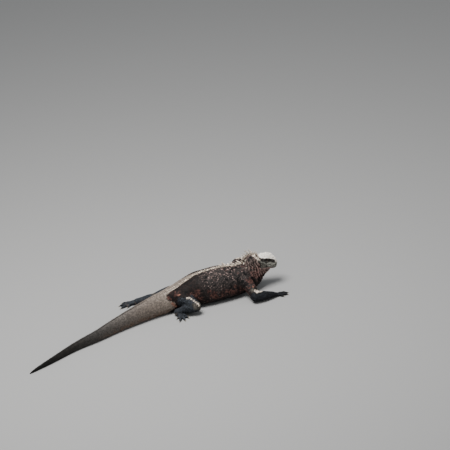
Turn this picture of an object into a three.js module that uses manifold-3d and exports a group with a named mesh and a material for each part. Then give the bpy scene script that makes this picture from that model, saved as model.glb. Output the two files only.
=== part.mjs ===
// Marine iguana, an adult male basking with its belly down, as a life-size still model in millimetres.
// +X runs toward the head, +Y toward the animal's left side and +Z up. The floor is at z = 0.
// The body is modelled whole along one midline and parted by thin cuts, and each limb is fitted to it.

import * as THREE from 'three';
import { mergeVertices } from 'three/addons/utils/BufferGeometryUtils.js';
import Module from 'manifold-3d';

const wasm = await Module();
wasm.setup();

// Driving dimensions

const seam = 0.3;
const bodySides = 24;
const tailTipX = -625;
const neckEndX = 262;

// The midline seen from above, from the tail's tip to the neck: x, then y
const midline = [
  [-625, -284], [-533, -240], [-426, -184], [-337, -150], [-263, -116], [-192, -86], [-121, -60],
  [-49, -36], [20, -16], [90, -6], [150, 0], [250, 4], [300, 8], [350, 10],
];

// Height of the back above the floor, along x
const backHeight = [
  [-625, 4], [-600, 12], [-533, 23], [-426, 35], [-337, 46], [-263, 57], [-192, 67], [-121, 77],
  [-70, 82], [-30, 84], [10, 87], [45, 98], [85, 112], [130, 118], [180, 119], [225, 116], [262, 110],
];

// Half of the body's width, along x
const halfWidth = [
  [-625, 1.6], [-600, 3.4], [-533, 5.6], [-426, 8.5], [-337, 12], [-263, 16], [-192, 21], [-121, 27],
  [-70, 33], [-30, 41], [10, 52], [45, 60], [85, 67], [130, 72], [180, 72], [225, 67], [262, 60],
];

// How far up the section is widest, and how full its upper half is, along x
const widestPart = [
  [-625, 0.5], [-192, 0.46], [-30, 0.42], [45, 0.36], [130, 0.33], [225, 0.36], [262, 0.42],
];
const backFullness = [[-625, 2], [-192, 2], [-70, 2.1], [10, 2.5], [60, 2.4], [130, 2], [262, 1.9]];
const bellyFullness = 2.4;
const bellySink = 1.5;

// Slanting neck sections: the top point, the bottom point, half width and widest part
const neckSections = [
  { top: [277, 113], bottom: [298, 3], half: 55, widest: 0.46 },
  { top: [284, 124], bottom: [321, 9], half: 49, widest: 0.5 },
  { top: [296, 136], bottom: [340, 20], half: 42, widest: 0.52 },
  { top: [311, 141], bottom: [353, 37], half: 36, widest: 0.54 },
  { top: [325, 141], bottom: [366, 51], half: 31.5, widest: 0.56 },
  { top: [338, 136], bottom: [379, 62], half: 28, widest: 0.56 },
  { top: [350, 126], bottom: [390, 80], half: 19, widest: 0.56 },
];

// The top of the left shoulder blade, which stands out beside the neck
const shoulderBlade = { middle: [277, 43, 93], radii: [31, 23, 24], faces: [12, 6] };

// The head's own frame: its rear middle, and how far the snout points down
const headRear = new THREE.Vector3(346, 10, 108);
const headPitch = THREE.MathUtils.degToRad(12);
const headLength = 73;

// Head profiles along its length: half width, crown, mouth line and throat
const headHalf = [[0, 26], [12, 28.5], [28, 26], [42, 22.5], [56, 19], [65, 15.5], [70, 11.5], [73, 6]];
const headCrown = [[0, 22], [14, 25], [30, 28.5], [43, 26.5], [54, 21], [63, 12.5], [70, 3], [73, -4]];
const headMouth = [[0, -6], [22, -8], [45, -11], [73, -11.5]];
const headThroat = [[0, -25], [25, -23.5], [50, -21], [65, -19.5], [73, -15]];

// Lines that run along the side of the head: share of the half width, and share of the height
// from the mouth up to the crown, or down to the throat where it is negative
const headLines = {
  crown: [0, 1],
  crownSide: [0.42, 0.97],
  brow: [0.8, 0.77],
  underBrow: [0.83, 0.56],
  upperCheek: [0.97, 0.33],
  cheek: [1, 0.14],
  upperLip: [0.99, 0.045],
  mouth: [0.9, 0],
  lowerLip: [0.95, -0.12],
  jawSide: [0.89, -0.55],
  jawEdge: [0.6, -0.9],
  throat: [0, -1],
};

// Eyes, in the head's frame
const eyeRadius = 6.2;
const eyePlace = new THREE.Vector3(29, 17, 13.5);
const lidRadii = [9.2, 7.6, 7.2];
const eyeOpening = { width: 10.4, height: 6 };
const ballFaces = [12, 8];

// Nostrils, in the head's frame
const nostril = { place: [57, 13, 9.5], rim: 3.4, bore: 1.9, depth: 5 };

// Crest: height of the spines along the back's line, and the sizes of one spine
const crestHeight = [
  [-610, 2.6], [-450, 4], [-250, 5], [-60, 6], [40, 6], [120, 6.5], [180, 8], [225, 10.5], [262, 11],
  [282, 16], [292, 20], [302, 24], [312, 29], [322, 26], [332, 21], [342, 15],
];
const crestParts = {
  tail: { spacing: 14.2, long: 5.4, wide: 1.5, lean: 0.9, sunk: 3, upright: 0 },
  back: { spacing: 9.2, long: 3.6, wide: 1.7, lean: 0.6, sunk: 3, upright: 0.6 },
  nape: { spacing: 5.8, long: 2.4, wide: 1.7, lean: 0.53, sunk: 3.5, upright: 0.7 },
};
const spineForm = { sides: 4, waist: 0.6, waistAt: 0.5 };

// Conical scales of the head: rows along it, and places across it as shares of the half width
const crownScales = {
  firstX: 7, lastX: 66, rowStep: 6.4, across: [-0.74, -0.37, 0, 0.37, 0.74], shift: 0.185, edge: 0.8,
  radius: 3.4, sunk: 1.6, height: [[0, 2.6], [20, 3.4], [40, 4.6], [52, 4], [62, 2.8], [68, 1.8]],
};
const cheekScales = {
  places: [[9, 6], [13, -1], [16, 7], [19.5, 1.5], [23, -3]], radius: 3.6, height: 2.6, sunk: 1.8,
};
const scaleForm = { sides: 5, waist: 0.62, waistAt: 0.55, lean: 0 };

// Cuts across the body, each a point on the cut and its direction toward the head
const cuts = {
  headNeck: { at: [351, 10, 108], toward: [59, 0, 22] },
  neckChest: { at: [286, 0, 112], toward: [97, 0, 58] },
  chestBelly: { at: [196, 2, 60], toward: [1, 0.02, 0] },
  bellyPelvis: { at: [88, -6, 60], toward: [1, 0.12, 0] },
  pelvisTail: { at: [-34, -32, 40], toward: [1, 0.3, 0] },
  tailOneTwo: { at: [-150, -70, 30], toward: [1, 0.37, 0] },
  tailTwoThree: { at: [-290, -127, 30], toward: [1, 0.44, 0] },
  tailThreeFour: { at: [-440, -191, 20], toward: [1, 0.45, 0] },
};

// Limbs: joints from the body outward, each with its half height and half width
const limbs = {
  front_right: {
    side: -1,
    upper: [
      { at: [272, -28, 58], high: 27, wide: 24 },
      { at: [281, -60, 52], high: 26, wide: 22 },
      { at: [288, -89, 39], high: 21, wide: 19 },
      { at: [292, -113, 26], high: 17, wide: 17 },
    ],
    lower: [
      { at: [292, -113, 23], high: 17, wide: 17 },
      { at: [318, -109, 21.5], high: 18.5, wide: 19 },
      { at: [343, -105, 17], high: 15, wide: 16 },
      { at: [366, -100, 12.5], high: 10, wide: 12.5 },
    ],
    heel: [365, -100, 12],
    ball: [383, -97, 7],
    heading: 5,
    fan: 0.85,
    stretch: 1,
  },
  front_left: {
    side: 1,
    upper: [
      { at: [270, 34, 58], high: 27, wide: 24 },
      { at: [265, 66, 52], high: 26, wide: 22 },
      { at: [257, 93, 40], high: 21, wide: 19 },
      { at: [250, 115, 27], high: 17, wide: 17 },
    ],
    lower: [
      { at: [250, 115, 24], high: 17, wide: 17 },
      { at: [272, 127, 22], high: 18.5, wide: 19 },
      { at: [294, 136, 17], high: 15, wide: 16 },
      { at: [316, 143, 12.5], high: 10, wide: 12.5 },
    ],
    heel: [315, 143, 12],
    ball: [333, 147, 7],
    heading: 14,
    fan: 0.9,
    stretch: 1,
  },
  hind_right: {
    side: -1,
    upper: [
      { at: [8, -26, 52], high: 30, wide: 27 },
      { at: [24, -54, 50], high: 30, wide: 26 },
      { at: [44, -84, 43], high: 26, wide: 22 },
      { at: [62, -106, 36], high: 20, wide: 19 },
    ],
    lower: [
      { at: [62, -108, 33], high: 19, wide: 18 },
      { at: [38, -103, 30], high: 17.5, wide: 16.5 },
      { at: [12, -92, 23], high: 13.5, wide: 13 },
      { at: [-9, -84, 16], high: 11, wide: 12 },
    ],
    heel: [-11, -83, 13],
    ball: [4, -100, 7.5],
    heading: -84,
    fan: 1,
    stretch: 0.88,
  },
  hind_left: {
    side: 1,
    upper: [
      { at: [12, -4, 48], high: 29, wide: 27 },
      { at: [-4, 20, 42], high: 28, wide: 26 },
      { at: [-30, 38, 31], high: 24, wide: 22 },
      { at: [-60, 48, 22], high: 18, wide: 18 },
    ],
    lower: [
      { at: [-60, 49, 19], high: 17, wide: 18 },
      { at: [-84, 56, 17.5], high: 16.5, wide: 17 },
      { at: [-108, 62, 14.5], high: 12.5, wide: 13.5 },
      { at: [-130, 66, 12], high: 10, wide: 12 },
    ],
    heel: [-128, 66, 11],
    ball: [-153, 69, 7.5],
    heading: 176,
    fan: 0.85,
    stretch: 0.95,
  },
};

// Toes from the inner to the outer one: spread in degrees, and length with the claw
const toeSets = {
  front: { spread: [52, 25, 0, -24, -58], reach: [32, 43, 49, 46, 34], thick: 4.9, claw: 12 },
  hind: { spread: [56, 33, 0, -30, -62], reach: [36, 47, 57, 60, 40], thick: 5.6, claw: 14 },
};

// Materials

const finish = (color, roughness) => new THREE.MeshStandardMaterial({ color, roughness, metalness: 0 });
const materials = {
  head: finish(0xb9ab93, 0.85),
  neck: finish(0x6e5246, 0.85),
  body: finish(0x5b3a32, 0.8),
  tail: finish(0x6b5a4c, 0.85),
  leg: finish(0x33373a, 0.8),
  claw: finish(0x8c8271, 0.55),
  eye: finish(0x2a1a12, 0.15),
};

// Curves and lofts

function smoothProfile(points) {
  const last = points.length - 1;
  const slopeAt = (k) => {
    const before = points[Math.max(k - 1, 0)];
    const after = points[Math.min(k + 1, last)];
    return (after[1] - before[1]) / (after[0] - before[0]);
  };
  return (at) => {
    const here = THREE.MathUtils.clamp(at, points[0][0], points[last][0]);
    let k = 0;
    while (k < last - 1 && here > points[k + 1][0]) {
      k += 1;
    }
    const span = points[k + 1][0] - points[k][0];
    const t = (here - points[k][0]) / span;
    const [startValue, endValue] = [points[k][1], points[k + 1][1]];
    const startPull = slopeAt(k) * span;
    const endPull = slopeAt(k + 1) * span;
    return (2 * t ** 3 - 3 * t ** 2 + 1) * startValue + (t ** 3 - 2 * t ** 2 + t) * startPull
      + (3 * t ** 2 - 2 * t ** 3) * endValue + (t ** 3 - t ** 2) * endPull;
  };
}

function solidFrom(positions, faces) {
  let volume = 0;
  const point = (k) => new THREE.Vector3().fromArray(positions, 3 * k);
  for (let f = 0; f < faces.length; f += 3) {
    volume += point(faces[f]).dot(point(faces[f + 1]).cross(point(faces[f + 2])));
  }
  const outward = [...faces];
  if (volume < 0) {
    outward.reverse();
  }
  return new wasm.Manifold(new wasm.Mesh({
    numProp: 3,
    vertProperties: Float32Array.from(positions),
    triVerts: Uint32Array.from(outward),
  }));
}

function geometrySolid(geometry) {
  geometry.deleteAttribute('normal');
  geometry.deleteAttribute('uv');
  const merged = mergeVertices(geometry, 1e-4);
  return solidFrom([...merged.attributes.position.array], [...merged.index.array]);
}

function closedLoft(rings, tip = null) {
  const count = rings[0].length;
  const points = rings.flat();
  const faces = [];
  for (let r = 0; r + 1 < rings.length; r += 1) {
    for (let k = 0; k < count; k += 1) {
      const near = r * count + k;
      const nearNext = r * count + (k + 1) % count;
      faces.push(near, nearNext, nearNext + count, near, nearNext + count, near + count);
    }
  }
  for (const [start, turned] of [[0, true], [(rings.length - 1) * count, false]]) {
    const middle = points.length;
    const centre = new THREE.Vector3();
    for (let k = 0; k < count; k += 1) {
      centre.addScaledVector(points[start + k], 1 / count);
    }
    points.push(tip && !turned ? tip : centre);
    for (let k = 0; k < count; k += 1) {
      const pair = [start + k, start + (k + 1) % count];
      faces.push(middle, ...(turned ? pair.reverse() : pair));
    }
  }
  return solidFrom(points.flatMap((p) => [p.x, p.y, p.z]), faces);
}

// Body: one loft from the tail's tip to inside the head

const midlineY = smoothProfile(midline);
const backZ = smoothProfile(backHeight);
const bodyHalf = smoothProfile(halfWidth);
const bodyWidest = smoothProfile(widestPart);
const bodyFull = smoothProfile(backFullness);

function sectionPoint(angle, section, margin) {
  const across = Math.sin(angle);
  const along = Math.cos(angle);
  const full = along > 0 ? section.full : bellyFullness;
  const side = Math.sign(across) * Math.abs(across) ** (2 / full) * (section.half + margin);
  const reach = along > 0 ? section.rise + margin : section.drop + margin;
  const lift = Math.sign(along) * Math.abs(along) ** (2 / full) * reach;
  return { side, lift };
}

function bodySection(x, margin) {
  const step = 2;
  const slope = (midlineY(x + step) - midlineY(x - step)) / (2 * step);
  const leftward = new THREE.Vector3(-slope, 1, 0).normalize();
  const top = backZ(x);
  const bottom = -bellySink * THREE.MathUtils.clamp((x - tailTipX) / 40, 0.1, 1);
  const widest = bottom + (top - bottom) * bodyWidest(x);
  const section = { half: bodyHalf(x), rise: top - widest, drop: widest - bottom, full: bodyFull(x) };
  const ring = [];
  for (let k = 0; k < bodySides; k += 1) {
    const { side, lift } = sectionPoint((2 * Math.PI * k) / bodySides, section, margin);
    const point = new THREE.Vector3(x, midlineY(x), widest + lift);
    ring.push(point.addScaledVector(leftward, side));
  }
  return ring;
}

function neckSection(row, margin) {
  const top = new THREE.Vector3(row.top[0], midlineY(row.top[0]), row.top[1]);
  const bottom = new THREE.Vector3(row.bottom[0], midlineY(row.bottom[0]), row.bottom[1]);
  const upward = top.clone().sub(bottom);
  const height = upward.length();
  upward.normalize();
  const centre = bottom.clone().addScaledVector(upward, height * row.widest);
  const section = {
    half: row.half, rise: height * (1 - row.widest), drop: height * row.widest, full: 2.1,
  };
  const ring = [];
  for (let k = 0; k < bodySides; k += 1) {
    const { side, lift } = sectionPoint((2 * Math.PI * k) / bodySides, section, margin);
    const point = centre.clone().addScaledVector(upward, lift);
    point.y += side;
    ring.push(point);
  }
  return ring;
}

function shoulderForm(margin) {
  const ball = new THREE.SphereGeometry(1, ...shoulderBlade.faces);
  ball.scale(...shoulderBlade.radii.map((radius) => radius + margin));
  ball.translate(...shoulderBlade.middle);
  return geometrySolid(ball);
}

function bodyLoft(margin = 0) {
  const rings = [];
  const stops = [tailTipX, -615, -595];
  for (let x = -565; x < -60; x += 26) {
    stops.push(x);
  }
  for (let x = -44; x < neckEndX; x += 17) {
    stops.push(x);
  }
  for (const x of stops) {
    rings.push(bodySection(x, margin));
  }
  for (const row of neckSections) {
    rings.push(neckSection(row, margin));
  }
  return closedLoft(rings).add(shoulderForm(margin));
}

// Head

const headHalfAt = smoothProfile(headHalf);
const headCrownAt = smoothProfile(headCrown);
const headMouthAt = smoothProfile(headMouth);
const headThroatAt = smoothProfile(headThroat);

const headTurn = new THREE.Matrix4().makeRotationY(headPitch).setPosition(headRear);

function headToWorld(x, y, z) {
  return new THREE.Vector3(x, y, z).applyMatrix4(headTurn);
}

function headSurface(x, line, side) {
  const [share, rise] = line;
  const mouth = headMouthAt(x);
  const reach = rise >= 0 ? headCrownAt(x) - mouth : mouth - headThroatAt(x);
  return [x, side * share * headHalfAt(x), mouth + rise * reach];
}

function headRing(x) {
  const lines = Object.values(headLines);
  const leftSide = lines.map((line) => headToWorld(...headSurface(x, line, 1)));
  const rightSide = lines.slice(1, -1).reverse().map((line) => headToWorld(...headSurface(x, line, -1)));
  return [...leftSide, ...rightSide];
}

function ellipsoid(radii, place, widthSegments, heightSegments) {
  const ball = new THREE.SphereGeometry(1, widthSegments, heightSegments);
  ball.scale(...radii);
  ball.translate(...place);
  ball.applyMatrix4(headTurn);
  return geometrySolid(ball);
}

function eyeSlit(side) {
  const almond = new THREE.Shape();
  almond.moveTo(-eyeOpening.width / 2, 0);
  almond.quadraticCurveTo(0, eyeOpening.height, eyeOpening.width / 2, 0);
  almond.quadraticCurveTo(0, -eyeOpening.height, -eyeOpening.width / 2, 0);
  const cutter = new THREE.ExtrudeGeometry(almond, { depth: 12, bevelEnabled: false, curveSegments: 6 });
  cutter.rotateX(-side * Math.PI / 2);
  cutter.translate(eyePlace.x, side * eyePlace.y, eyePlace.z);
  cutter.applyMatrix4(headTurn);
  return geometrySolid(cutter);
}

function nostrilPiece(side, radius, reach, taper) {
  const cone = new THREE.CylinderGeometry(radius * taper, radius, reach, 10, 1);
  cone.rotateX(side * Math.PI / 2);
  cone.rotateZ(-side * 0.5);
  cone.translate(nostril.place[0], side * nostril.place[1], nostril.place[2]);
  cone.applyMatrix4(headTurn);
  return geometrySolid(cone);
}

function headSolid() {
  const rings = [];
  for (const x of [0, 6, 12, 18, 24, 30, 36, 42, 48, 54, 58.5, 63, 67, 70, 72, headLength]) {
    rings.push(headRing(x));
  }
  let head = closedLoft(rings);
  for (const side of [1, -1]) {
    const place = [eyePlace.x, side * eyePlace.y, eyePlace.z];
    head = head.add(ellipsoid(lidRadii, place, ...ballFaces));
    head = head.subtract(eyeSlit(side));
    head = head.add(nostrilPiece(side, nostril.rim, nostril.depth, 0.75));
    head = head.subtract(nostrilPiece(side, nostril.bore, nostril.depth + 1.5, 1.1));
  }
  return head;
}

function eyeSocket(side) {
  const radius = eyeRadius + seam;
  return ellipsoid([radius, radius, radius], [eyePlace.x, side * eyePlace.y, eyePlace.z], ...ballFaces);
}

function eyeBall(side) {
  const place = [eyePlace.x, side * eyePlace.y, eyePlace.z];
  return ellipsoid([eyeRadius, eyeRadius, eyeRadius], place, ...ballFaces);
}

// Limbs

function tube(joints, { sides, steps, margin = 0, flatEnd = false }) {
  const curve = new THREE.CatmullRomCurve3(joints.map((joint) => new THREE.Vector3(...joint.at)));
  const highAt = smoothProfile(joints.map((joint, k) => [k, joint.high]));
  const wideAt = smoothProfile(joints.map((joint, k) => [k, joint.wide]));
  const spans = joints.length - 1;
  const rings = [];
  const addRing = (t, shrink, offset) => {
    const middle = curve.getPoint(t);
    const along = curve.getTangent(t);
    const sideways = new THREE.Vector3().crossVectors(along, new THREE.Vector3(0, 0, 1)).normalize();
    const upward = new THREE.Vector3().crossVectors(sideways, along);
    const high = (highAt(t * spans) + margin) * shrink;
    const wide = (wideAt(t * spans) + margin) * shrink;
    middle.addScaledVector(along, offset * (highAt(t * spans) + margin));
    const ring = [];
    for (let k = 0; k < sides; k += 1) {
      const angle = (2 * Math.PI * k) / sides;
      const point = middle.clone().addScaledVector(upward, Math.cos(angle) * high);
      ring.push(point.addScaledVector(sideways, Math.sin(angle) * wide));
    }
    rings.push(ring);
  };
  addRing(0, 0.5, -0.75);
  addRing(0, 0.85, -0.4);
  for (let k = 0; k <= steps; k += 1) {
    addRing(k / steps, 1, 0);
  }
  if (!flatEnd) {
    addRing(1, 0.85, 0.4);
    addRing(1, 0.5, 0.75);
  }
  return closedLoft(rings);
}

function toePlan(limb, toes, index) {
  const turn = limb.heading - limb.side * toes.spread[index] * limb.fan;
  const angle = THREE.MathUtils.degToRad(turn);
  const along = new THREE.Vector3(Math.cos(angle), Math.sin(angle), 0);
  return { along, reach: toes.reach[index] * limb.stretch };
}

function toeJoints(limb, toes, index) {
  const { along, reach } = toePlan(limb, toes, index);
  const root = new THREE.Vector3(...limb.ball).addScaledVector(along, 3);
  const fleshy = reach - toes.claw;
  const place = (share, height) => {
    const point = new THREE.Vector3(...limb.ball).addScaledVector(along, 3 + (fleshy - 3) * share);
    return [point.x, point.y, height];
  };
  return [
    { at: [root.x, root.y, toes.thick * 1.15], high: toes.thick, wide: toes.thick },
    { at: place(0.4, toes.thick * 1.25), high: toes.thick * 0.95, wide: toes.thick * 0.9 },
    { at: place(0.75, toes.thick), high: toes.thick * 0.85, wide: toes.thick * 0.8 },
    { at: place(1, toes.thick * 0.85), high: toes.thick * 0.72, wide: toes.thick * 0.66 },
  ];
}

function clawSolid(limb, toes, index) {
  const { along } = toePlan(limb, toes, index);
  const joints = toeJoints(limb, toes, index);
  const toeCurve = new THREE.CatmullRomCurve3(joints.map((joint) => new THREE.Vector3(...joint.at)));
  const start = toeCurve.getPoint(1);
  const forward = toeCurve.getTangent(1);
  const sideways = new THREE.Vector3(0, 0, 1).cross(along).normalize();
  const thick = toes.thick * 0.6;
  const rings = [];
  const stations = 3;
  for (let k = 0; k <= stations; k += 1) {
    const t = k / stations;
    const droop = forward.clone().lerp(new THREE.Vector3(along.x * 0.55, along.y * 0.55, -1), t * 0.45);
    droop.normalize();
    const middle = start.clone().addScaledVector(forward, seam).addScaledVector(droop, toes.claw * t);
    middle.z = Math.max(middle.z + 2.2 * Math.sin(Math.PI * t) * 0.6, 0.5 + 0.2 * thick * (1 - t));
    const across = k === 0 ? forward : droop;
    const upward = across.clone().cross(sideways).normalize();
    const radius = thick * (1 - t) ** 0.7 + 0.35;
    const ring = [];
    for (let j = 0; j < 5; j += 1) {
      const angle = (2 * Math.PI * j) / 5;
      const point = middle.clone().addScaledVector(upward, Math.cos(angle) * radius);
      ring.push(point.addScaledVector(sideways, Math.sin(angle) * radius * 0.7));
    }
    rings.push(ring);
  }
  return trimFloor(closedLoft(rings), 0.05);
}

// Cuts and nodes

function trimFloor(solid, height = 0) {
  return solid.trimByPlane([0, 0, 1], height);
}

function trimAt(solid, cut, ahead) {
  const direction = new THREE.Vector3(...cut.toward).normalize();
  const distance = direction.dot(new THREE.Vector3(...cut.at));
  if (ahead) {
    return solid.trimByPlane(direction.toArray(), distance + seam / 2);
  }
  return solid.trimByPlane(direction.negate().toArray(), -distance + seam / 2);
}

function largestBody(solid) {
  const bodies = solid.decompose();
  return bodies.reduce((best, body) => (body.volume() > best.volume() ? body : best));
}

function nodeMesh(name, solid, material) {
  const shape = largestBody(solid).getMesh();
  const geometry = new THREE.BufferGeometry();
  geometry.setAttribute('position', new THREE.BufferAttribute(Float32Array.from(shape.vertProperties), 3));
  geometry.setIndex(new THREE.BufferAttribute(Uint32Array.from(shape.triVerts), 1));
  geometry.computeVertexNormals();
  const mesh = new THREE.Mesh(geometry, material);
  mesh.name = name;
  return mesh;
}

const iguana = new THREE.Group();

function addNode(name, solid, material) {
  iguana.add(nodeMesh(name, solid, material));
}

// Spines along the line of the back, and conical scales on the head

function seededDraw(seed) {
  let state = seed;
  return () => {
    state = (state * 1664525 + 1013904223) % 4294967296;
    return state / 4294967296;
  };
}

const draw = seededDraw(20);

const dorsalZ = smoothProfile([...backHeight, ...neckSections.map((row) => row.top)]);
const spineHeight = smoothProfile(crestHeight);

function dorsalPoint(x) {
  return new THREE.Vector3(x, midlineY(x), dorsalZ(x));
}

function spikeLoft(root, axes, sizes) {
  // A pointed form on the skin: a sunk foot, a waist part way up and a tip that leans back.
  const { along, up, across } = axes;
  const middleAt = (rise, bend) => {
    const middle = root.clone().addScaledVector(up, rise);
    return middle.addScaledVector(along, -sizes.lean * bend);
  };
  const ring = (middle, share) => {
    const points = [];
    for (let k = 0; k < sizes.sides; k += 1) {
      const angle = (2 * Math.PI * k) / sizes.sides;
      const point = middle.clone().addScaledVector(along, Math.cos(angle) * sizes.long * share);
      points.push(point.addScaledVector(across, Math.sin(angle) * sizes.wide * share));
    }
    return points;
  };
  const waistRise = sizes.height * sizes.waistAt;
  const foot = ring(middleAt(-sizes.sunk, 0), 1);
  const waist = ring(middleAt(waistRise, 0.7 * waistRise), sizes.waist);
  return closedLoft([foot, waist], middleAt(sizes.height, sizes.height));
}

function varied(size, share) {
  // The size, drawn up to the share larger or smaller.
  return size * (1 + share * (2 * draw() - 1));
}

function crestFor(name, startX, endX) {
  let part = crestParts.back;
  if (name.startsWith('tail')) {
    part = crestParts.tail;
  } else if (name === 'neck') {
    part = crestParts.nape;
  }
  const count = Math.round((endX - startX) / part.spacing);
  const step = (endX - startX) / count;
  const spines = [];
  for (let k = 0; k < count; k += 1) {
    const x = startX + (k + 0.5) * step;
    const root = dorsalPoint(x);
    const along = dorsalPoint(x + 2).sub(dorsalPoint(x - 2)).normalize();
    const across = new THREE.Vector3(-along.y, along.x, 0).normalize();
    const up = along.clone().cross(across).lerp(new THREE.Vector3(0, 0, 1), part.upright).normalize();
    const height = varied(spineHeight(x), 0.16);
    const lean = varied(part.lean, 0.25);
    spines.push(spikeLoft(root, { along, up, across }, { ...spineForm, ...part, height, lean }));
  }
  return spines;
}

function crownPoint(x, share) {
  const lines = [headLines.crown, headLines.crownSide, headLines.brow];
  const size = Math.abs(share);
  const upper = size <= lines[1][0] ? 0 : 1;
  const t = (size - lines[upper][0]) / (lines[upper + 1][0] - lines[upper][0]);
  const rise = THREE.MathUtils.lerp(lines[upper][1], lines[upper + 1][1], t);
  return headToWorld(...headSurface(x, [share, rise], 1));
}

function headScales() {
  const scales = [];
  const heightAt = smoothProfile(crownScales.height);
  let odd = false;
  for (let x = crownScales.firstX; x < crownScales.lastX; x += crownScales.rowStep) {
    for (const share of crownScales.across) {
      const placed = share + (odd ? crownScales.shift : 0);
      if (placed < crownScales.edge) {
        const root = crownPoint(x, placed);
        const along = crownPoint(x + 1, placed).sub(crownPoint(x - 1, placed)).normalize();
        const across = crownPoint(x, placed + 0.02).sub(crownPoint(x, placed - 0.02)).normalize();
        const up = along.clone().cross(across).normalize();
        const size = varied(crownScales.radius, 0.12);
        const sizes = { long: size, wide: size, height: varied(heightAt(x), 0.2), sunk: crownScales.sunk };
        scales.push(spikeLoft(root, { along, up, across: up.clone().cross(along) }, {
          ...scaleForm, ...sizes,
        }));
      }
    }
    odd = !odd;
  }
  for (const side of [1, -1]) {
    for (const [x, z] of cheekScales.places) {
      const along = headToWorld(x + 1, 0, z).sub(headToWorld(x, 0, z));
      const up = new THREE.Vector3(0, side, 0);
      const root = headToWorld(x, side * (headHalfAt(x) - 1), z);
      const sizes = { ...cheekScales, long: cheekScales.radius, wide: cheekScales.radius };
      scales.push(spikeLoft(root, { along, up, across: up.clone().cross(along) }, {
        ...scaleForm, ...sizes,
      }));
    }
  }
  return scales;
}

// Trunk, neck, head and tail, parted from one whole

const wholeBody = trimFloor(bodyLoft().add(headSolid()));

const axialNodes = [
  ['head', cuts.headNeck, null, materials.head],
  ['neck', cuts.neckChest, cuts.headNeck, materials.neck],
  ['torso_chest', cuts.chestBelly, cuts.neckChest, materials.body],
  ['torso_belly', cuts.bellyPelvis, cuts.chestBelly, materials.body],
  ['torso_pelvis', cuts.pelvisTail, cuts.bellyPelvis, materials.body],
  ['tail_1', cuts.tailOneTwo, cuts.pelvisTail, materials.tail],
  ['tail_2', cuts.tailTwoThree, cuts.tailOneTwo, materials.tail],
  ['tail_3', cuts.tailThreeFour, cuts.tailTwoThree, materials.tail],
  ['tail_4', null, cuts.tailThreeFour, materials.tail],
];

function crossingX(cut) {
  // Where the line of the back meets a cut, found by halving.
  const direction = new THREE.Vector3(...cut.toward).normalize();
  const at = new THREE.Vector3(...cut.at);
  let [low, high] = [cut.at[0] - 60, cut.at[0] + 60];
  for (let k = 0; k < 30; k += 1) {
    const middle = (low + high) / 2;
    if (dorsalPoint(middle).sub(at).dot(direction) > 0) {
      high = middle;
    } else {
      low = middle;
    }
  }
  return low;
}

for (const [name, behind, ahead, material] of axialNodes) {
  let solid = wholeBody;
  let crestStart = crestHeight[0][0];
  if (behind) {
    solid = trimAt(solid, behind, true);
    crestStart = crossingX(behind) + 2 * seam;
  }
  if (ahead) {
    solid = trimAt(solid, ahead, false);
  }
  const raised = name === 'head' ? headScales() : crestFor(name, crestStart, crossingX(ahead) - 2 * seam);
  for (const form of raised) {
    solid = solid.add(form);
  }
  if (name === 'head') {
    solid = solid.subtract(eyeSocket(1)).subtract(eyeSocket(-1));
  }
  addNode(name, solid, material);
}

// Eyes

for (const [sideName, side] of [['left', 1], ['right', -1]]) {
  addNode(`eye_${sideName}`, eyeBall(side), materials.eye);
}

// Legs, feet and claws, each fitted against what it grows from

const grownBody = bodyLoft(seam);

for (const [name, limb] of Object.entries(limbs)) {
  const front = name.startsWith('front');
  const names = front ? ['upper_arm', 'forearm', 'hand'] : ['thigh', 'shin', 'foot'];
  const toes = front ? toeSets.front : toeSets.hind;
  const form = { sides: 14, steps: 6 };
  const upper = tube(limb.upper, form).subtract(grownBody);
  const grownUpper = tube(limb.upper, { ...form, margin: seam });
  const lower = tube(limb.lower, form).subtract(grownBody).subtract(grownUpper);
  const heelJoints = [
    { at: limb.heel, high: toes.thick * 1.7, wide: toes.thick * 2 },
    { at: limb.ball, high: toes.thick * 1.15, wide: toes.thick * 2.3 },
  ];
  let foot = tube(heelJoints, { sides: 12, steps: 3 });
  for (let index = 0; index < 5; index += 1) {
    foot = foot.add(tube(toeJoints(limb, toes, index), { sides: 6, steps: 3, flatEnd: true }));
  }
  foot = foot.subtract(tube(limb.lower, { ...form, margin: seam })).subtract(grownBody);
  for (const [k, solid] of [upper, lower, foot].entries()) {
    addNode(`${name}_${names[k]}`, trimFloor(solid), materials.leg);
  }
  for (let index = 0; index < 5; index += 1) {
    addNode(`${name}_claw_${index + 1}`, clawSolid(limb, toes, index), materials.claw);
  }
}

// The origin is under the middle of the animal, on the floor

const extent = new THREE.Box3().setFromObject(iguana);
const centre = extent.getCenter(new THREE.Vector3());
iguana.position.set(-centre.x, -centre.y, -extent.min.z);

export default iguana;
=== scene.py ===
import itertools
import math

import bpy
import numpy as np
from mathutils import Matrix, Vector, noise
from mathutils.bvhtree import BVHTree
from mathutils.kdtree import KDTree


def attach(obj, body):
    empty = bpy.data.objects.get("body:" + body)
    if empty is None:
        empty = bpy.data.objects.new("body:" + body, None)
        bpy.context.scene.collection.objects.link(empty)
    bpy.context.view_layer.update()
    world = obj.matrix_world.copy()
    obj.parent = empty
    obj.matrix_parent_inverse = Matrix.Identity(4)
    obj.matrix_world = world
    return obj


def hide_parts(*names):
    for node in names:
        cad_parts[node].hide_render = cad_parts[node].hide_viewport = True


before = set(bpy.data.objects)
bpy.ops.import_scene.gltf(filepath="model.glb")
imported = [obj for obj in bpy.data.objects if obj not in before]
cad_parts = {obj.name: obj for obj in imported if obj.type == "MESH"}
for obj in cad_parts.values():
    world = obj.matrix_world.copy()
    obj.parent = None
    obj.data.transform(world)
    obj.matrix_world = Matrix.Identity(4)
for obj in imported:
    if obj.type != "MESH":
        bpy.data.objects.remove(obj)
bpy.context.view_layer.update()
print("frame loaded")

# Shapes are worked out in millimetres, with x along the body toward the head and the floor at z = 0.
mm = 0.001


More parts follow.
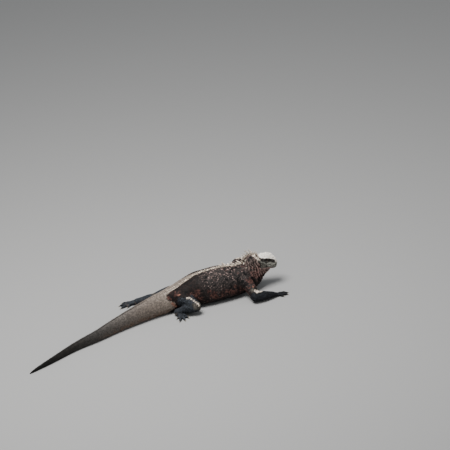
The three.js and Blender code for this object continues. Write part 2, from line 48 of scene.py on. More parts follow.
def selectOnly(obj):
    bpy.ops.object.select_all(action="DESELECT")
    obj.select_set(True)
    bpy.context.view_layer.objects.active = obj


def applyModifier(obj, kind, **settings):
    selectOnly(obj)
    modifier = obj.modifiers.new(kind.title(), kind)
    for key, value in settings.items():
        setattr(modifier, key, value)
    bpy.ops.object.modifier_apply(modifier=modifier.name)


def smoothProfile(points):
    # a smooth curve through (x, value) pairs
    xs, ys = (np.array(column, float) for column in zip(*points))
    last = len(xs) - 1
    before, after = np.maximum(np.arange(last + 1) - 1, 0), np.minimum(np.arange(last + 1) + 1, last)
    slopes = (ys[after] - ys[before]) / (xs[after] - xs[before])

    def valueAt(x):
        here = np.clip(x, xs[0], xs[-1])
        k = np.clip(np.searchsorted(xs, here, side="right") - 1, 0, last - 1)
        span = xs[k + 1] - xs[k]
        t = (here - xs[k]) / span
        startPart = (2 * t**3 - 3 * t**2 + 1) * ys[k] + (t**3 - 2 * t**2 + t) * slopes[k] * span
        endPart = (3 * t**2 - 2 * t**3) * ys[k + 1] + (t**3 - t**2) * slopes[k + 1] * span
        return startPart + endPart

    return valueAt


def smoothStep(low, high, value):
    t = np.clip((value - low) / (high - low), 0, 1)
    return t * t * (3 - 2 * t)


def smoothFall(low, high, value):
    return 1 - smoothStep(low, high, value)


def bump(away, width):
    # 1 where away is 0, and falling off evenly to both sides
    return np.exp(-(away / width) ** 2)


def splineRows(rows, parts):
    # a smooth run through rows of numbers, each step cut into a number of parts
    rows = np.array(rows, float)
    padded = np.vstack([2 * rows[0] - rows[1], rows, 2 * rows[-1] - rows[-2]])
    made = []
    for k in range(len(rows) - 1):
        a, b, c, d = padded[k:k + 4]
        for t in np.arange(parts) / parts:
            made.append(0.5 * (2 * b + (c - a) * t + (2 * a - 5 * b + 4 * c - d) * t**2
                               + (3 * b - a - 3 * c + d) * t**3))
    made.append(rows[-1])
    return np.array(made)


def closedRings(rings):
    # a closed tube from rings of points, with a fan at each end
    count = len(rings[0])
    points = [point for ring in rings for point in ring]
    faces = []
    for r in range(len(rings) - 1):
        for k in range(count):
            near, nearNext = r * count + k, r * count + (k + 1) % count
            faces.append((near, nearNext, nearNext + count, near + count))
    for start, turned in ((0, True), ((len(rings) - 1) * count, False)):
        middle = len(points)
        points.append(np.mean(points[start:start + count], axis=0))
        for k in range(count):
            pair = (start + k, start + (k + 1) % count)
            faces.append((middle, *(pair[::-1] if turned else pair)))
    return np.array(points), faces


def meshObject(name, points, faces):
    mesh = bpy.data.meshes.new(name)
    mesh.from_pydata([tuple(p) for p in points], [], faces)
    obj = bpy.data.objects.new(name, mesh)
    bpy.context.scene.collection.objects.link(obj)
    return obj


# Body form

bodyShape = dict(
    tailTip=-625, neckEnd=262, sides=72, bellyFullness=2.4, bellySink=1.5,
    midline=[(-625, -284), (-533, -240), (-426, -184), (-337, -150), (-263, -116), (-192, -86), (-121, -60),
             (-49, -36), (20, -16), (90, -6), (150, 0), (250, 4), (300, 8), (350, 10)],
    backHeight=[(-625, 4), (-600, 12), (-533, 23), (-426, 35), (-337, 46), (-263, 57), (-192, 67),
                (-121, 77), (-70, 82), (-30, 84), (10, 87), (45, 98), (85, 112), (130, 118), (180, 119),
                (225, 116), (262, 110)],
    halfWidth=[(-625, 1.6), (-600, 3.4), (-533, 5.6), (-426, 8.5), (-337, 12), (-263, 16), (-192, 21),
               (-121, 27), (-70, 33), (-30, 41), (10, 52), (45, 60), (85, 67), (130, 72), (180, 72),
               (225, 67), (262, 60)],
    widestPart=[(-625, 0.5), (-192, 0.46), (-30, 0.42), (45, 0.36), (130, 0.33), (225, 0.36), (262, 0.42)],
    backFullness=[(-625, 2), (-192, 2), (-70, 2.1), (10, 2.5), (60, 2.4), (130, 2), (262, 1.9)],
    # the top of the left shoulder blade
    blade=dict(middle=(277, 43, 93), radii=(31, 23, 24)),
    # the slack tip of the throat
    wattle=dict(middle=(374, 4, 66), radii=(11, 8, 6)),
    # neck sections: top x and z, bottom x and z, half width, widest part
    neckRows=[(277, 113, 298, 3, 55, 0.46), (284, 124, 321, 9, 49, 0.5), (296, 136, 340, 20, 42, 0.52),
              (311, 141, 353, 37, 36, 0.54), (325, 141, 366, 51, 31.5, 0.56), (338, 136, 379, 62, 28, 0.56),
              (350, 126, 390, 80, 19, 0.56)],
)
midlineY = smoothProfile(bodyShape["midline"])
backZ = smoothProfile(bodyShape["backHeight"])
bodyHalf = smoothProfile(bodyShape["halfWidth"])
bodyWidest = smoothProfile(bodyShape["widestPart"])
bodyFull = smoothProfile(bodyShape["backFullness"])


def bodyStations():
    # one row per section: top point, bottom point, half width, widest part, fullness of the back
    tip = bodyShape["tailTip"]
    stops = [tip, tip + 10, tip + 30, *np.arange(tip + 60, -60, 26), *np.arange(-44, bodyShape["neckEnd"], 17)]
    rows = []
    for x in stops:
        y = midlineY(x)
        bottom = -bodyShape["bellySink"] * min(max((x - tip) / 40, 0.1), 1)
        rows.append((x, y, backZ(x), x, y, bottom, bodyHalf(x), bodyWidest(x), bodyFull(x)))
    for topX, topZ, bottomX, bottomZ, half, widest in bodyShape["neckRows"]:
        rows.append((topX, midlineY(topX), topZ, bottomX, midlineY(bottomX), bottomZ, half, widest, 2.1))
    return splineRows(rows, 5)


stations = bodyStations()


def bodyRings():
    tops, bottoms = stations[:, :3], stations[:, 3:6]
    run = np.gradient((tops + bottoms)[:, :2], axis=0)
    leftward = np.stack([-run[:, 1], run[:, 0], np.zeros(len(run))], 1)
    leftward /= np.linalg.norm(leftward, axis=1)[:, None]
    heights = np.linalg.norm(tops - bottoms, axis=1)
    upward = (tops - bottoms) / heights[:, None]
    angle = 2 * np.pi * np.arange(bodyShape["sides"]) / bodyShape["sides"]
    across, along = np.sin(angle), np.cos(angle)
    rings = []
    for k, (half, widest, full) in enumerate(stations[:, 6:]):
        power = 2 / np.where(along > 0, full, bodyShape["bellyFullness"])
        side = np.sign(across) * np.abs(across) ** power * half
        reach = np.where(along > 0, heights[k] * (1 - widest), heights[k] * widest)
        lift = np.sign(along) * np.abs(along) ** power * reach
        centre = bottoms[k] + upward[k] * heights[k] * widest
        rings.append(centre + np.outer(side, leftward[k]) + np.outer(lift, upward[k]))
    return rings


# Head form, in the head's own frame: x along the head, y to its left, z up

headShape = dict(
    rear=(346, 10, 108), pitch=math.radians(12), length=73,
    half=[(0, 26), (12, 28.5), (28, 26), (42, 22.5), (56, 19), (65, 15.5), (70, 11.5), (73, 6)],
    crown=[(0, 22), (14, 24.5), (30, 29), (43, 27), (54, 20.5), (63, 12), (70, 3), (73, -4)],
    mouth=[(0, -6), (22, -8), (45, -11), (73, -11.5)],
    throat=[(0, -25), (25, -24.5), (50, -24), (65, -23.5), (73, -19.5)],
    # lines along the head: share of the half width, share of the height above or below the mouth
    lines=[(0, 1), (0.42, 0.97), (0.8, 0.77), (0.84, 0.56), (0.97, 0.33), (1, 0.14), (0.98, 0),
           (0.97, -0.3), (0.93, -0.85), (0.7, -1.15), (0, -1.18)],
)
eyeShape = dict(place=(29, 17, 13.5), radius=6.2, lid=7.5, width=10.4, height=6, lidEdge=(6.6, 8.6),
                creaseDepth=0.7, creaseWidth=0.7, hollow=0.9)
nostrilShape = dict(place=(56.5, 15, 8.2), bore=2.5, depth=4, rim=4, rimHigh=0.8, rimWidth=1.1)
headHalf = smoothProfile(headShape["half"])
headCrown = smoothProfile(headShape["crown"])
headMouth = smoothProfile(headShape["mouth"])
headThroat = smoothProfile(headShape["throat"])
headTurn = np.array([[math.cos(headShape["pitch"]), 0, math.sin(headShape["pitch"])], [0, 1, 0],
                     [-math.sin(headShape["pitch"]), 0, math.cos(headShape["pitch"])]])


def fromHead(points):
    return np.asarray(points) @ headTurn.T + headShape["rear"]


def toHead(points):
    return (np.asarray(points) - headShape["rear"]) @ headTurn


def headRings():
    rings = []
    for x in [*np.arange(0, 66, 3), 67, 69, 70.5, 72, headShape["length"]]:
        mouth, crown, throat = headMouth(x), headCrown(x), headThroat(x)
        half = [(x, share * headHalf(x), mouth + rise * (crown - mouth if rise >= 0 else mouth - throat))
                for share, rise in headShape["lines"]]
        mirrored = [(x, -y, z) for x, y, z in half[-2:0:-1]]
        ring = splineRows([*half, *mirrored, half[0]], 3)[:-1]
        rings.append(fromHead(ring))
    return rings


# Legs: joints from the body outward, each with its half height and half width

legShapes = dict(
    front_right=dict(
        side=-1, heading=5, fan=0.85, stretch=1,
        upper=[(272, -28, 58, 27, 24), (281, -60, 52, 26, 22), (288, -89, 39, 21, 19), (292, -113, 26, 17, 17)],
        lower=[(292, -113, 23, 17, 17), (318, -109, 21.5, 18.5, 19), (343, -105, 17, 15, 16),
               (366, -100, 12.5, 10, 12.5)],
        heel=(365, -100, 12), ball=(383, -97, 7)),
    front_left=dict(
        side=1, heading=14, fan=0.9, stretch=1,
        upper=[(270, 34, 58, 27, 24), (265, 66, 52, 26, 22), (257, 93, 40, 21, 19), (250, 115, 27, 17, 17)],
        lower=[(250, 115, 24, 17, 17), (272, 127, 22, 18.5, 19), (294, 136, 17, 15, 16),
               (316, 143, 12.5, 10, 12.5)],
        heel=(315, 143, 12), ball=(333, 147, 7)),
    hind_right=dict(
        side=-1, heading=-84, fan=1, stretch=0.88,
        upper=[(8, -26, 52, 30, 27), (24, -54, 50, 30, 26), (44, -84, 43, 26, 22), (62, -106, 36, 20, 19)],
        lower=[(62, -108, 33, 19, 18), (38, -103, 30, 17.5, 16.5), (12, -92, 23, 13.5, 13), (-9, -84, 16, 11, 12)],
        heel=(-11, -83, 13), ball=(4, -100, 7.5)),
    hind_left=dict(
        side=1, heading=176, fan=0.85, stretch=0.95,
        upper=[(12, -4, 48, 29, 27), (-4, 20, 42, 28, 26), (-30, 38, 31, 24, 22), (-60, 48, 22, 18, 18)],
        lower=[(-60, 49, 19, 17, 18), (-84, 56, 17.5, 16.5, 17), (-108, 62, 14.5, 12.5, 13.5),
               (-130, 66, 12, 10, 12)],
        heel=(-128, 66, 11), ball=(-153, 69, 7.5)),
)
# toes and claws, the row of the upper leg where its dark hide starts, and the names of the leg's parts
toeShapes = dict(
    front=dict(spread=(52, 25, 0, -24, -58), reach=(32, 43, 49, 46, 34), thick=4.9, claw=12, clawDeep=2.9,
               darkFrom=15, legParts=("upper_arm", "forearm", "hand")),
    hind=dict(spread=(56, 33, 0, -30, -62), reach=(36, 47, 57, 60, 40), thick=5.6, claw=14, clawDeep=3.3,
              darkFrom=7, legParts=("thigh", "shin", "foot")),
)


def toesOf(legName):
    return toeShapes[legName.split("_")[0]]


def limbRings(joints, steps, sides):
    # rings along a bent limb, closing in at its rounded ends
    rows = splineRows(joints, steps)
    middles = rows[:, :3]
    runs = np.gradient(middles, axis=0)
    last = len(rows) - 1
    stops = [(0, -75), (0, -50), (0, -25), *((k, 0) for k in range(last + 1)), (last, 25), (last, 50), (last, 75)]
    angle = 2 * np.pi * np.arange(sides) / sides
    rings = []
    for k, turn in stops:
        along = Vector(runs[k]).normalized()
        sideways = along.cross(Vector((0, 0, 1))).normalized()
        upward = sideways.cross(along)
        high, wide = rows[k, 3:5] * math.cos(math.radians(turn))
        middle = middles[k] + np.array(along) * math.sin(math.radians(turn)) * rows[k, 3]
        rings.append(middle + np.outer(np.cos(angle) * high, upward) + np.outer(np.sin(angle) * wide, sideways))
    return rings


def toeJoints(leg, toes, index):
    angle = math.radians(leg["heading"] - leg["side"] * toes["spread"][index] * leg["fan"])
    along = np.array([math.cos(angle), math.sin(angle), 0])
    fleshy = toes["reach"][index] * leg["stretch"] - toes["claw"]
    thick = toes["thick"]
    joints = []
    for share, height, high, wide in ((0, 1.15, 1, 1), (0.2, 1.3, 0.96, 0.94), (0.4, 1.25, 0.99, 0.93),
                                      (0.58, 1.1, 0.86, 0.82), (0.75, 1, 0.9, 0.84), (1, 0.85, 0.74, 0.68)):
        point = np.array(leg["ball"]) + along * (3 + (fleshy - 3) * share)
        joints.append((point[0], point[1], thick * height, thick * high, thick * wide))
    return joints


def ballRings(middle, radii):
    rings = []
    for turn in np.radians(np.arange(8, 180, 8)):
        angle = 2 * np.pi * np.arange(32) / 32
        unit = np.stack([np.cos(angle) * math.sin(turn), np.sin(angle) * math.sin(turn),
                         np.full(32, -math.cos(turn))], 1)
        rings.append(unit * radii + middle)
    return rings


skinShape = dict(voxel=2.4, coarserRatio=0.56, fineRoundLegs=1.4)


def buildSkinBase():
    # overlapping closed forms, joined into one skin by a fine remesh, then made coarser off the limbs and head
    parts = [closedRings(bodyRings()), closedRings(headRings()), closedRings(ballRings(**bodyShape["blade"])),
             closedRings(ballRings(**bodyShape["wattle"]))]
    for name, leg in legShapes.items():
        toes = toesOf(name)
        thick = toes["thick"]
        palm = [(*leg["heel"], thick * 1.7, thick * 2), (*leg["ball"], thick * 1.15, thick * 2.3)]
        for joints in (leg["upper"], leg["lower"], palm):
            parts.append(closedRings(limbRings(joints, 8, 28)))
        for index in range(5):
            parts.append(closedRings(limbRings(toeJoints(leg, toes, index), 4, 16)))
    points, faces, count = [], [], 0
    for partPoints, partFaces in parts:
        points.append(partPoints)
        faces += [tuple(count + v for v in face) for face in partFaces]
        count += len(partPoints)
    skin = meshObject("skin", np.vstack(points), faces)
    applyModifier(skin, "REMESH", mode="VOXEL", voxel_size=skinShape["voxel"])
    places = readPoints(skin.data)
    plain = legNearness(places) > skinShape["fineRoundLegs"]
    plain &= (toHead(places)[:, 0] < -8) & (places[:, 0] > bodyShape["tailTip"] + 30)
    coarser = skin.vertex_groups.new(name="coarser")
    coarser.add(np.flatnonzero(plain).tolist(), 1, "REPLACE")
    applyModifier(skin, "DECIMATE", ratio=skinShape["coarserRatio"], vertex_group="coarser")
    skin.vertex_groups.clear()
    return skin


def readRows(items, key, width=3, kind=float):
    flat = np.empty(len(items) * width, kind)
    items.foreach_get(key, flat)
    return flat.reshape(-1, width)


def readPoints(mesh):
    return readRows(mesh.vertices, "co")


def readNormals(mesh):
    return readRows(mesh.vertices, "normal")


def readTriangles(mesh):
    return readRows(mesh.polygons, "vertices", 3, int)


def writePoints(mesh, points):
    mesh.vertices.foreach_set("co", np.asarray(points, float).ravel())
    mesh.update()


def shadeSmooth(mesh):
    mesh.polygons.foreach_set("use_smooth", [True] * len(mesh.polygons))


def relax(mesh, weights, rounds):
    # moves each point toward the mean of its neighbours
    points = readPoints(mesh)
    first, second = readRows(mesh.edges, "vertices", 2, int).T
    count = len(points)
    ends, others = np.concatenate([first, second]), np.concatenate([second, first])
    degree = np.bincount(ends, minlength=count)[:, None]
    for _ in range(rounds):
        mean = np.stack([np.bincount(ends, points[others, axis], count) for axis in range(3)], 1) / degree
        points += (mean - points) * weights[:, None]
    writePoints(mesh, points)


def legNearness(points, coloured=False):
    # distance to the nearest leg axis over the leg's radius there, for whole legs or only their dark part
    nearest = np.full(len(points), 99.0)
    for name, leg in legShapes.items():
        toes = toesOf(name)
        upper = splineRows(leg["upper"], 5)
        if coloured:
            upper = upper[toes["darkFrom"]:]
        ball = np.array([(*leg["ball"], toes["thick"] * 3, toes["thick"] * 3)])
        toeRows = [splineRows(toeJoints(leg, toes, index), 2) for index in range(5)]
        for row in np.vstack([upper, splineRows(leg["lower"], 5), ball, *toeRows]):
            nearest = np.minimum(nearest, np.linalg.norm(points - row[:3], axis=1) / max(row[3], row[4]))
    return nearest


skin = buildSkinBase()
print("skin base", len(skin.data.vertices))
points = readPoints(skin.data)
legRatio = legNearness(points)
toJoin = smoothStep(0.75, 1.0, legRatio) * smoothFall(1.25, 1.8, legRatio) * smoothStep(14, 30, points[:, 2])
relax(skin.data, np.full(len(points), 0.35), 3)
relax(skin.data, 0.5 * toJoin, 22)


def subdivideWhere(obj, chosen):
    selectOnly(obj)
    bpy.context.tool_settings.mesh_select_mode = (False, False, True)
    for polygon, flag in zip(obj.data.polygons, chosen):
        polygon.select = bool(flag)
    bpy.ops.object.mode_set(mode="EDIT")
    bpy.ops.mesh.subdivide(number_cuts=1, smoothness=0.6)
    bpy.ops.mesh.select_mode(type="VERT")
    bpy.ops.object.mode_set(mode="OBJECT")


for inset in (0, 4):
    centres = toHead(readRows(skin.data.polygons, "center"))
    subdivideWhere(skin, (centres[:, 0] > 2 + inset) & (centres[:, 2] > -27))
relax(skin.data, 0.3 * smoothStep(0, 6, toHead(readPoints(skin.data))[:, 0]), 3)
print("skin refined", len(skin.data.vertices))

# Fine forms of the head

fineHead = dict(
    mouth=[(15, -4.3), (27, -5.6), (39, -7.4), (52, -9), (62, -10), (73, -10.8)],
    groove=dict(deep=1.9, width=0.8),
    # the lips: height over the mouth line, how far each stands out, width
    lips=[(2.6, 0.9, 1.6), (-2.6, 0.8, 1.5)],
    # ridges along the side of the head: how far each stands out, width, and where it rises and falls along x
    ridges=dict(cheek=(1.8, 2.4, (-10, -4), (18, 27)), jowl=(1.8, 4, (-4, 6), (30, 36)),
                brow=(1.5, 1.7, (4, 12), (52, 58))),
    hollow=dict(place=(43, 8), radii=(7, 5), deep=1.1),
)
mouthLine = smoothProfile(fineHead["mouth"])
bandBottom = smoothProfile([(-13, 9), (-2, 9.7), (9, 7.3), (22, 4.6), (34, 3.6), (46, 1.6), (60, 1)])
crownEdge = smoothProfile([(-40, 20), (-10, 19.7), (4, 19), (16, 18.8), (29, 19), (42, 15.5), (50, 13.6), (56, 11),
                           (61, 5), (65, -1), (73, -6)])


def sculptHead(mesh):
    local = toHead(readPoints(mesh))
    normals = readNormals(mesh) @ headTurn
    x, y, z = local.T
    side = np.where(y < 0, -1.0, 1.0)
    inHead = smoothStep(1, 8, x)
    shift = np.zeros_like(local)
    # mouth line with a lip above and below it
    fromMouth = z - mouthLine(x)
    corner = smoothStep(17, 22, x)
    outward = (np.abs(normals[:, 2]) < 0.85) * corner * inHead
    groove = fineHead["groove"]["deep"] * bump(fromMouth, fineHead["groove"]["width"])
    lips = sum(out * bump(fromMouth - height, width) for height, out, width in fineHead["lips"])
    shift += normals * ((lips - groove) * outward)[:, None]
    # nostrils
    place = nostrilShape["place"]
    toNostril = np.linalg.norm(np.stack([x - place[0], y - side * place[1], z - place[2]], 1), axis=1)
    bore = nostrilShape["bore"]
    hole = -nostrilShape["depth"] * smoothFall(bore * 0.6, bore * 1.25, toNostril)
    rim = nostrilShape["rimHigh"] * bump(toNostril - nostrilShape["rim"], nostrilShape["rimWidth"])
    shift += normals * (hole + rim)[:, None]
    # ridges on the cheek, along the jowl and under the crown, and a hollow in front of the eye
    lines = dict(cheek=z - 7 + 0.2 * (x - 2), jowl=z + 18 + 0.22 * (x - 5), brow=z - crownEdge(x) - 1)
    ridges = sum(out * (bump(lines[name], width) * smoothStep(*rise, x) * smoothFall(*fall, x))
                 for name, (out, width, rise, fall) in fineHead["ridges"].items())
    (hollowX, hollowZ), (halfLong, halfHigh) = fineHead["hollow"]["place"], fineHead["hollow"]["radii"]
    hollow = np.exp(-(((x - hollowX) / halfLong) ** 2 + ((z - hollowZ) / halfHigh) ** 2))
    onSide = smoothStep(0.3, 0.7, np.abs(normals[:, 1]))
    shift += normals * ((ridges - fineHead["hollow"]["deep"] * hollow) * onSide)[:, None]
    local = local + shift
    # eyelids round the ball, open in the shape of an almond
    x, y, z = local.T
    fromEyeX, fromEyeZ = x - eyeShape["place"][0], z - eyeShape["place"][2]
    radial = np.hypot(fromEyeX, fromEyeZ)
    onSide = np.abs(y) > 10
    lid = eyeShape["place"][1] + np.sqrt(np.maximum(eyeShape["lid"] ** 2 - radial**2, 0))
    lidShare = smoothFall(*eyeShape["lidEdge"], radial) * onSide
    blended = np.maximum(np.abs(y), lid)
    y = side * (np.abs(y) * (1 - lidShare) + blended * lidShare)
    crease = eyeShape["creaseDepth"] * bump(radial - eyeShape["lidEdge"][1], eyeShape["creaseWidth"])
    y -= side * (crease * onSide)
    opening = eyeShape["height"] / 2 * (1 - (2 * fromEyeX / eyeShape["width"]) ** 2)
    inside = (np.abs(fromEyeZ) < opening) & onSide
    sunk = eyeShape["place"][1] + np.sqrt(np.maximum((eyeShape["radius"] - eyeShape["hollow"]) ** 2 - radial**2, 0))
    y = np.where(inside, side * sunk, y)
    local = np.stack([x, y, z], 1)
    writePoints(mesh, fromHead(local))


def noiseAt(points, size, seed=0):
    # smooth noise from -1 to 1, with lumps of the given size in millimetres
    offset = Vector((seed * 17.3, seed * 5.1, seed * 9.7))
    return np.array([noise.noise(Vector(p) / size + offset) for p in points])


foldShape = dict(at=(286, 112), toward=(0.858, 0.513), across=(0.985, 0.174), spacing=9.5, depth=3.6)


def foldRun(points):
    # distance past the neck's base, along the neck
    at, toward = foldShape["at"], foldShape["toward"]
    return (points[:, 0] - at[0]) * toward[0] + (points[:, 2] - at[1]) * toward[1]


def neckFolds(points):
    # loose folds round the neck: 1 on a ridge, 0 in a valley, and where they lie
    run = foldRun(points)
    warp = points[:, [0, 2]] @ foldShape["across"] + 7 * noiseAt(points, 34, 1) + 2.6 * noiseAt(points, 13, 2)
    ridge = np.sqrt(np.abs(((warp / foldShape["spacing"]) % 1) - 0.5) * 2)
    lx, _, lz = toHead(points).T
    where = smoothStep(-16, 10, run) * smoothFall(-2, 8, lx) * smoothFall(8, 20, lz)
    below = smoothStep(-16, 10, run) * smoothFall(-30, -24, lz) * smoothStep(-4, 8, lx)
    return ridge, np.maximum(where, below)


# the valleys between the neck folds, where painted shade goes
def foldValley(points):
    ridge, where = neckFolds(points)
    return smoothFall(0.4, 0.85, ridge) * where


# the crests of the neck folds, where a painted highlight goes
def foldCrest(points):
    ridge, where = neckFolds(points)
    return smoothStep(0.8, 0.98, ridge) * where


fineBody = dict(
    # low lumps on the trunk: height, size, seed
    lumps=[(1.1, 30, 3), (0.5, 12, 4)],
    legLumps=(0.55, 9, 7),
    flank=dict(height=27, sway=5, width=4.5, deep=1.6),
    hip=dict(middle=-10, halfLong=38, spacing=9, sway=6, high=0.9),
)


def sculptBody(mesh):
    # loose folds on the neck, throat, flank and hips, and low lumps on the trunk and legs
    points = readPoints(mesh)
    normals = readNormals(mesh)
    x, _, z = points.T
    offLegs = smoothStep(1.05, 1.4, legNearness(points))
    ridge, where = neckFolds(points)
    shift = foldShape["depth"] * (ridge - 0.7) * where * offLegs
    lumps = sum(high * noiseAt(points, size, seed) for high, size, seed in fineBody["lumps"])
    shift += lumps * offLegs * smoothFall(280, 330, x) * smoothStep(-60, 0, x)
    # a slack fold low along the flank
    flank, hip = fineBody["flank"], fineBody["hip"]
    fold = bump(z - flank["height"] - flank["sway"] * noiseAt(points, 60, 5), flank["width"]) * smoothStep(60, 95, x)
    shift -= flank["deep"] * fold * smoothFall(235, 262, x) * offLegs
    # creases over the hips
    across = x * 0.8 + z * 0.5 + hip["sway"] * noiseAt(points, 25, 6)
    creases = np.sqrt(np.abs(((across / hip["spacing"]) % 1) - 0.5) * 2)
    onHip = bump(x - hip["middle"], hip["halfLong"])
    shift += hip["high"] * (creases - 0.7) * onHip * offLegs * smoothStep(6, 20, z)
    high, size, seed = fineBody["legLumps"]
    shift += high * noiseAt(points, size, seed) * (1 - offLegs) * smoothStep(6, 14, z)
    points = points + normals * shift[:, None]
    points[:, 2] = np.maximum(points[:, 2], 0)
    writePoints(mesh, points)


sculptBody(skin.data)
sculptHead(skin.data)
shadeSmooth(skin.data)
print("skin sculpted")

# Where everything lies in the row frame


def nodeCloud(name):
    return np.array([v.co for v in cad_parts[name].data.vertices], float)


eyeNodes = [np.mean(nodeCloud(f"eye_{side}"), axis=0) for side in ("left", "right")]
ownMiddle = fromHead((eyeShape["place"][0], 0, eyeShape["place"][2]))
rowShift = np.mean(eyeNodes, axis=0) - ownMiddle * mm


def toRow(points):
    return np.asarray(points, float) * mm + rowShift


# Markings: shares from 0 to 1, by place on the body

markShape = dict(
    # where the tail's grey hide starts: distance to the right of the midline, then x
    hipEdge=[(-60, -30), (-45, 0), (-33, 45), (-20, 78), (-12, 104), (-5, 112), (-1, 96), (3, 54), (7, 20),
             (12, -4), (16, -22), (22, -36), (30, -38), (36, -32), (40, -22), (46, -8), (60, 0)],
    # the pale strip beside the crest: x, then half width
    strip=[(-80, 20), (-18, 11), (16, 8), (37, 4), (60, 3), (110, 2.6), (200, 2.6), (262, 3),
           (288, 1.6), (300, 0.8), (345, 0.8)],
    cream=[((299, -109, 46), 9), ((309, -105, 44), 8), ((317, -105, 39), 6), ((333, -9, 133), 5.5),
           ((339, -12, 127), 5), ((343, -14, 122), 4), ((284, -6, 119), 5), ((292, -6, 128), 4),
           ((286, -26, 108), 3), ((292, 40, 115), 9), ((276, 49, 116), 10),
           ((250, 108, 40), 9), ((262, 118, 38), 8)],
    # dark spots; those on the left side, between the crest and the shoulder blade, are painted shadow
    dark=[((283, 18, 110), 9), ((296, 16, 128), 7), ((313, -8, 138), 8), ((303, -11, 132), 6)],
    # the thin pale rim over the knee
    rim=[((35, -89, 67), 5), ((42, -90, 67.5), 5), ((49, -96, 64), 5), ((56, -104, 59), 5), ((62, -111, 54.5), 5),
         ((67, -117, 50), 5), ((71, -120, 44), 4.5)],
    rust=[((10, -62, 73.4), 5.5), ((-20, -69, 46), 6), ((-14, -69, 38), 6), ((-9, -69, 31), 5), ((291, -94, 59), 3.5),
          ((20, 30, 76), 6)],
    dry=[((66, -119, 41), 19), ((52, -116, 48), 8), ((285, -104, 51.5), 9), ((-62, 52, 30), 15)],
)
hipEdgeX = smoothProfile(markShape["hipEdge"])
stripHalf = smoothProfile(markShape["strip"])


def blobs(points, places, ragged):
    # 1 inside any of the ragged spots and 0 outside them all
    share = np.zeros(len(points))
    for middle, radius in places:
        away = np.linalg.norm(points - middle, axis=1) / radius + 0.3 * ragged
        share = np.maximum(share, smoothFall(0.65, 1.1, away))
    return share


def headMarkings(lx, ly, lz, points, small, middle):
    # the head's shares, then its pale nape and the painted shade inside the nostrils
    chin = smoothStep(44, 56, lx)
    head = smoothStep(-3, 3, lx + 3 * small) * smoothStep(-27, -19, lz + 2 * small + 9 * chin)
    crown = smoothStep(-1.6, 1.6, lz - crownEdge(lx) + 2.4 * small) * smoothStep(-9, -2, lx + 4 * middle)
    napeSide = smoothStep(-1, 2, lz - 15 + 5 * small) * smoothStep(-24, -16, lx + 6 * small) * smoothFall(-9, -2, lx)
    napeTop = smoothStep(17, 20, lz + 2 * small) * smoothStep(-36, -30, lx + 5 * small) * smoothFall(-9, -2, lx)
    nape = np.maximum(napeSide, napeTop) * smoothStep(-0.25, 0.05, noiseAt(points, 7, 16))
    # the dark band from behind the eye to the nostril: painted shade under the overhanging crust
    band = smoothStep(-1.4, 0.8, lz - bandBottom(lx) + 1.6 * small) * smoothFall(60, 64, lx)
    band = band * smoothFall(-1.5, 1, lz - crownEdge(lx)) * smoothStep(-8, 2, lx + 3 * middle)
    band = band * (1 - 0.8 * smoothStep(0.05, 0.35, noiseAt(points, 4, 19)))
    # painted shade inside the nostrils
    nostrilX, nostrilY, nostrilZ = nostrilShape["place"]
    offSide = np.abs(np.abs(ly) - nostrilY) > 5
    nostrilShade = smoothFall(2.2, 3.6, np.hypot(lx - nostrilX, lz - nostrilZ) + 4 * offSide)
    ridge = bump(lz - 6.4 + 0.3 * lx, 3) * smoothStep(-16, -9, lx) * smoothFall(20, 30, lx)
    above = smoothStep(0.8, 2, lz - mouthLine(lx)) * smoothFall(-1.5, 1, lz - bandBottom(lx))
    below = smoothStep(0.8, 2, mouthLine(lx) - lz) * smoothFall(8, 10.5, mouthLine(lx) - lz)
    lips = (above + below) * smoothStep(22, 34, lx)
    throat = smoothStep(-48, -40, lz) * smoothFall(-20, -14, lz) * smoothStep(-8, 0, lx) * (1 - chin)
    shares = dict(headArea=head, crownArea=crown, underCrustShade=band, lipArea=np.clip(lips + ridge, 0, 1),
                  throatArea=throat)
    return shares, nape, nostrilShade


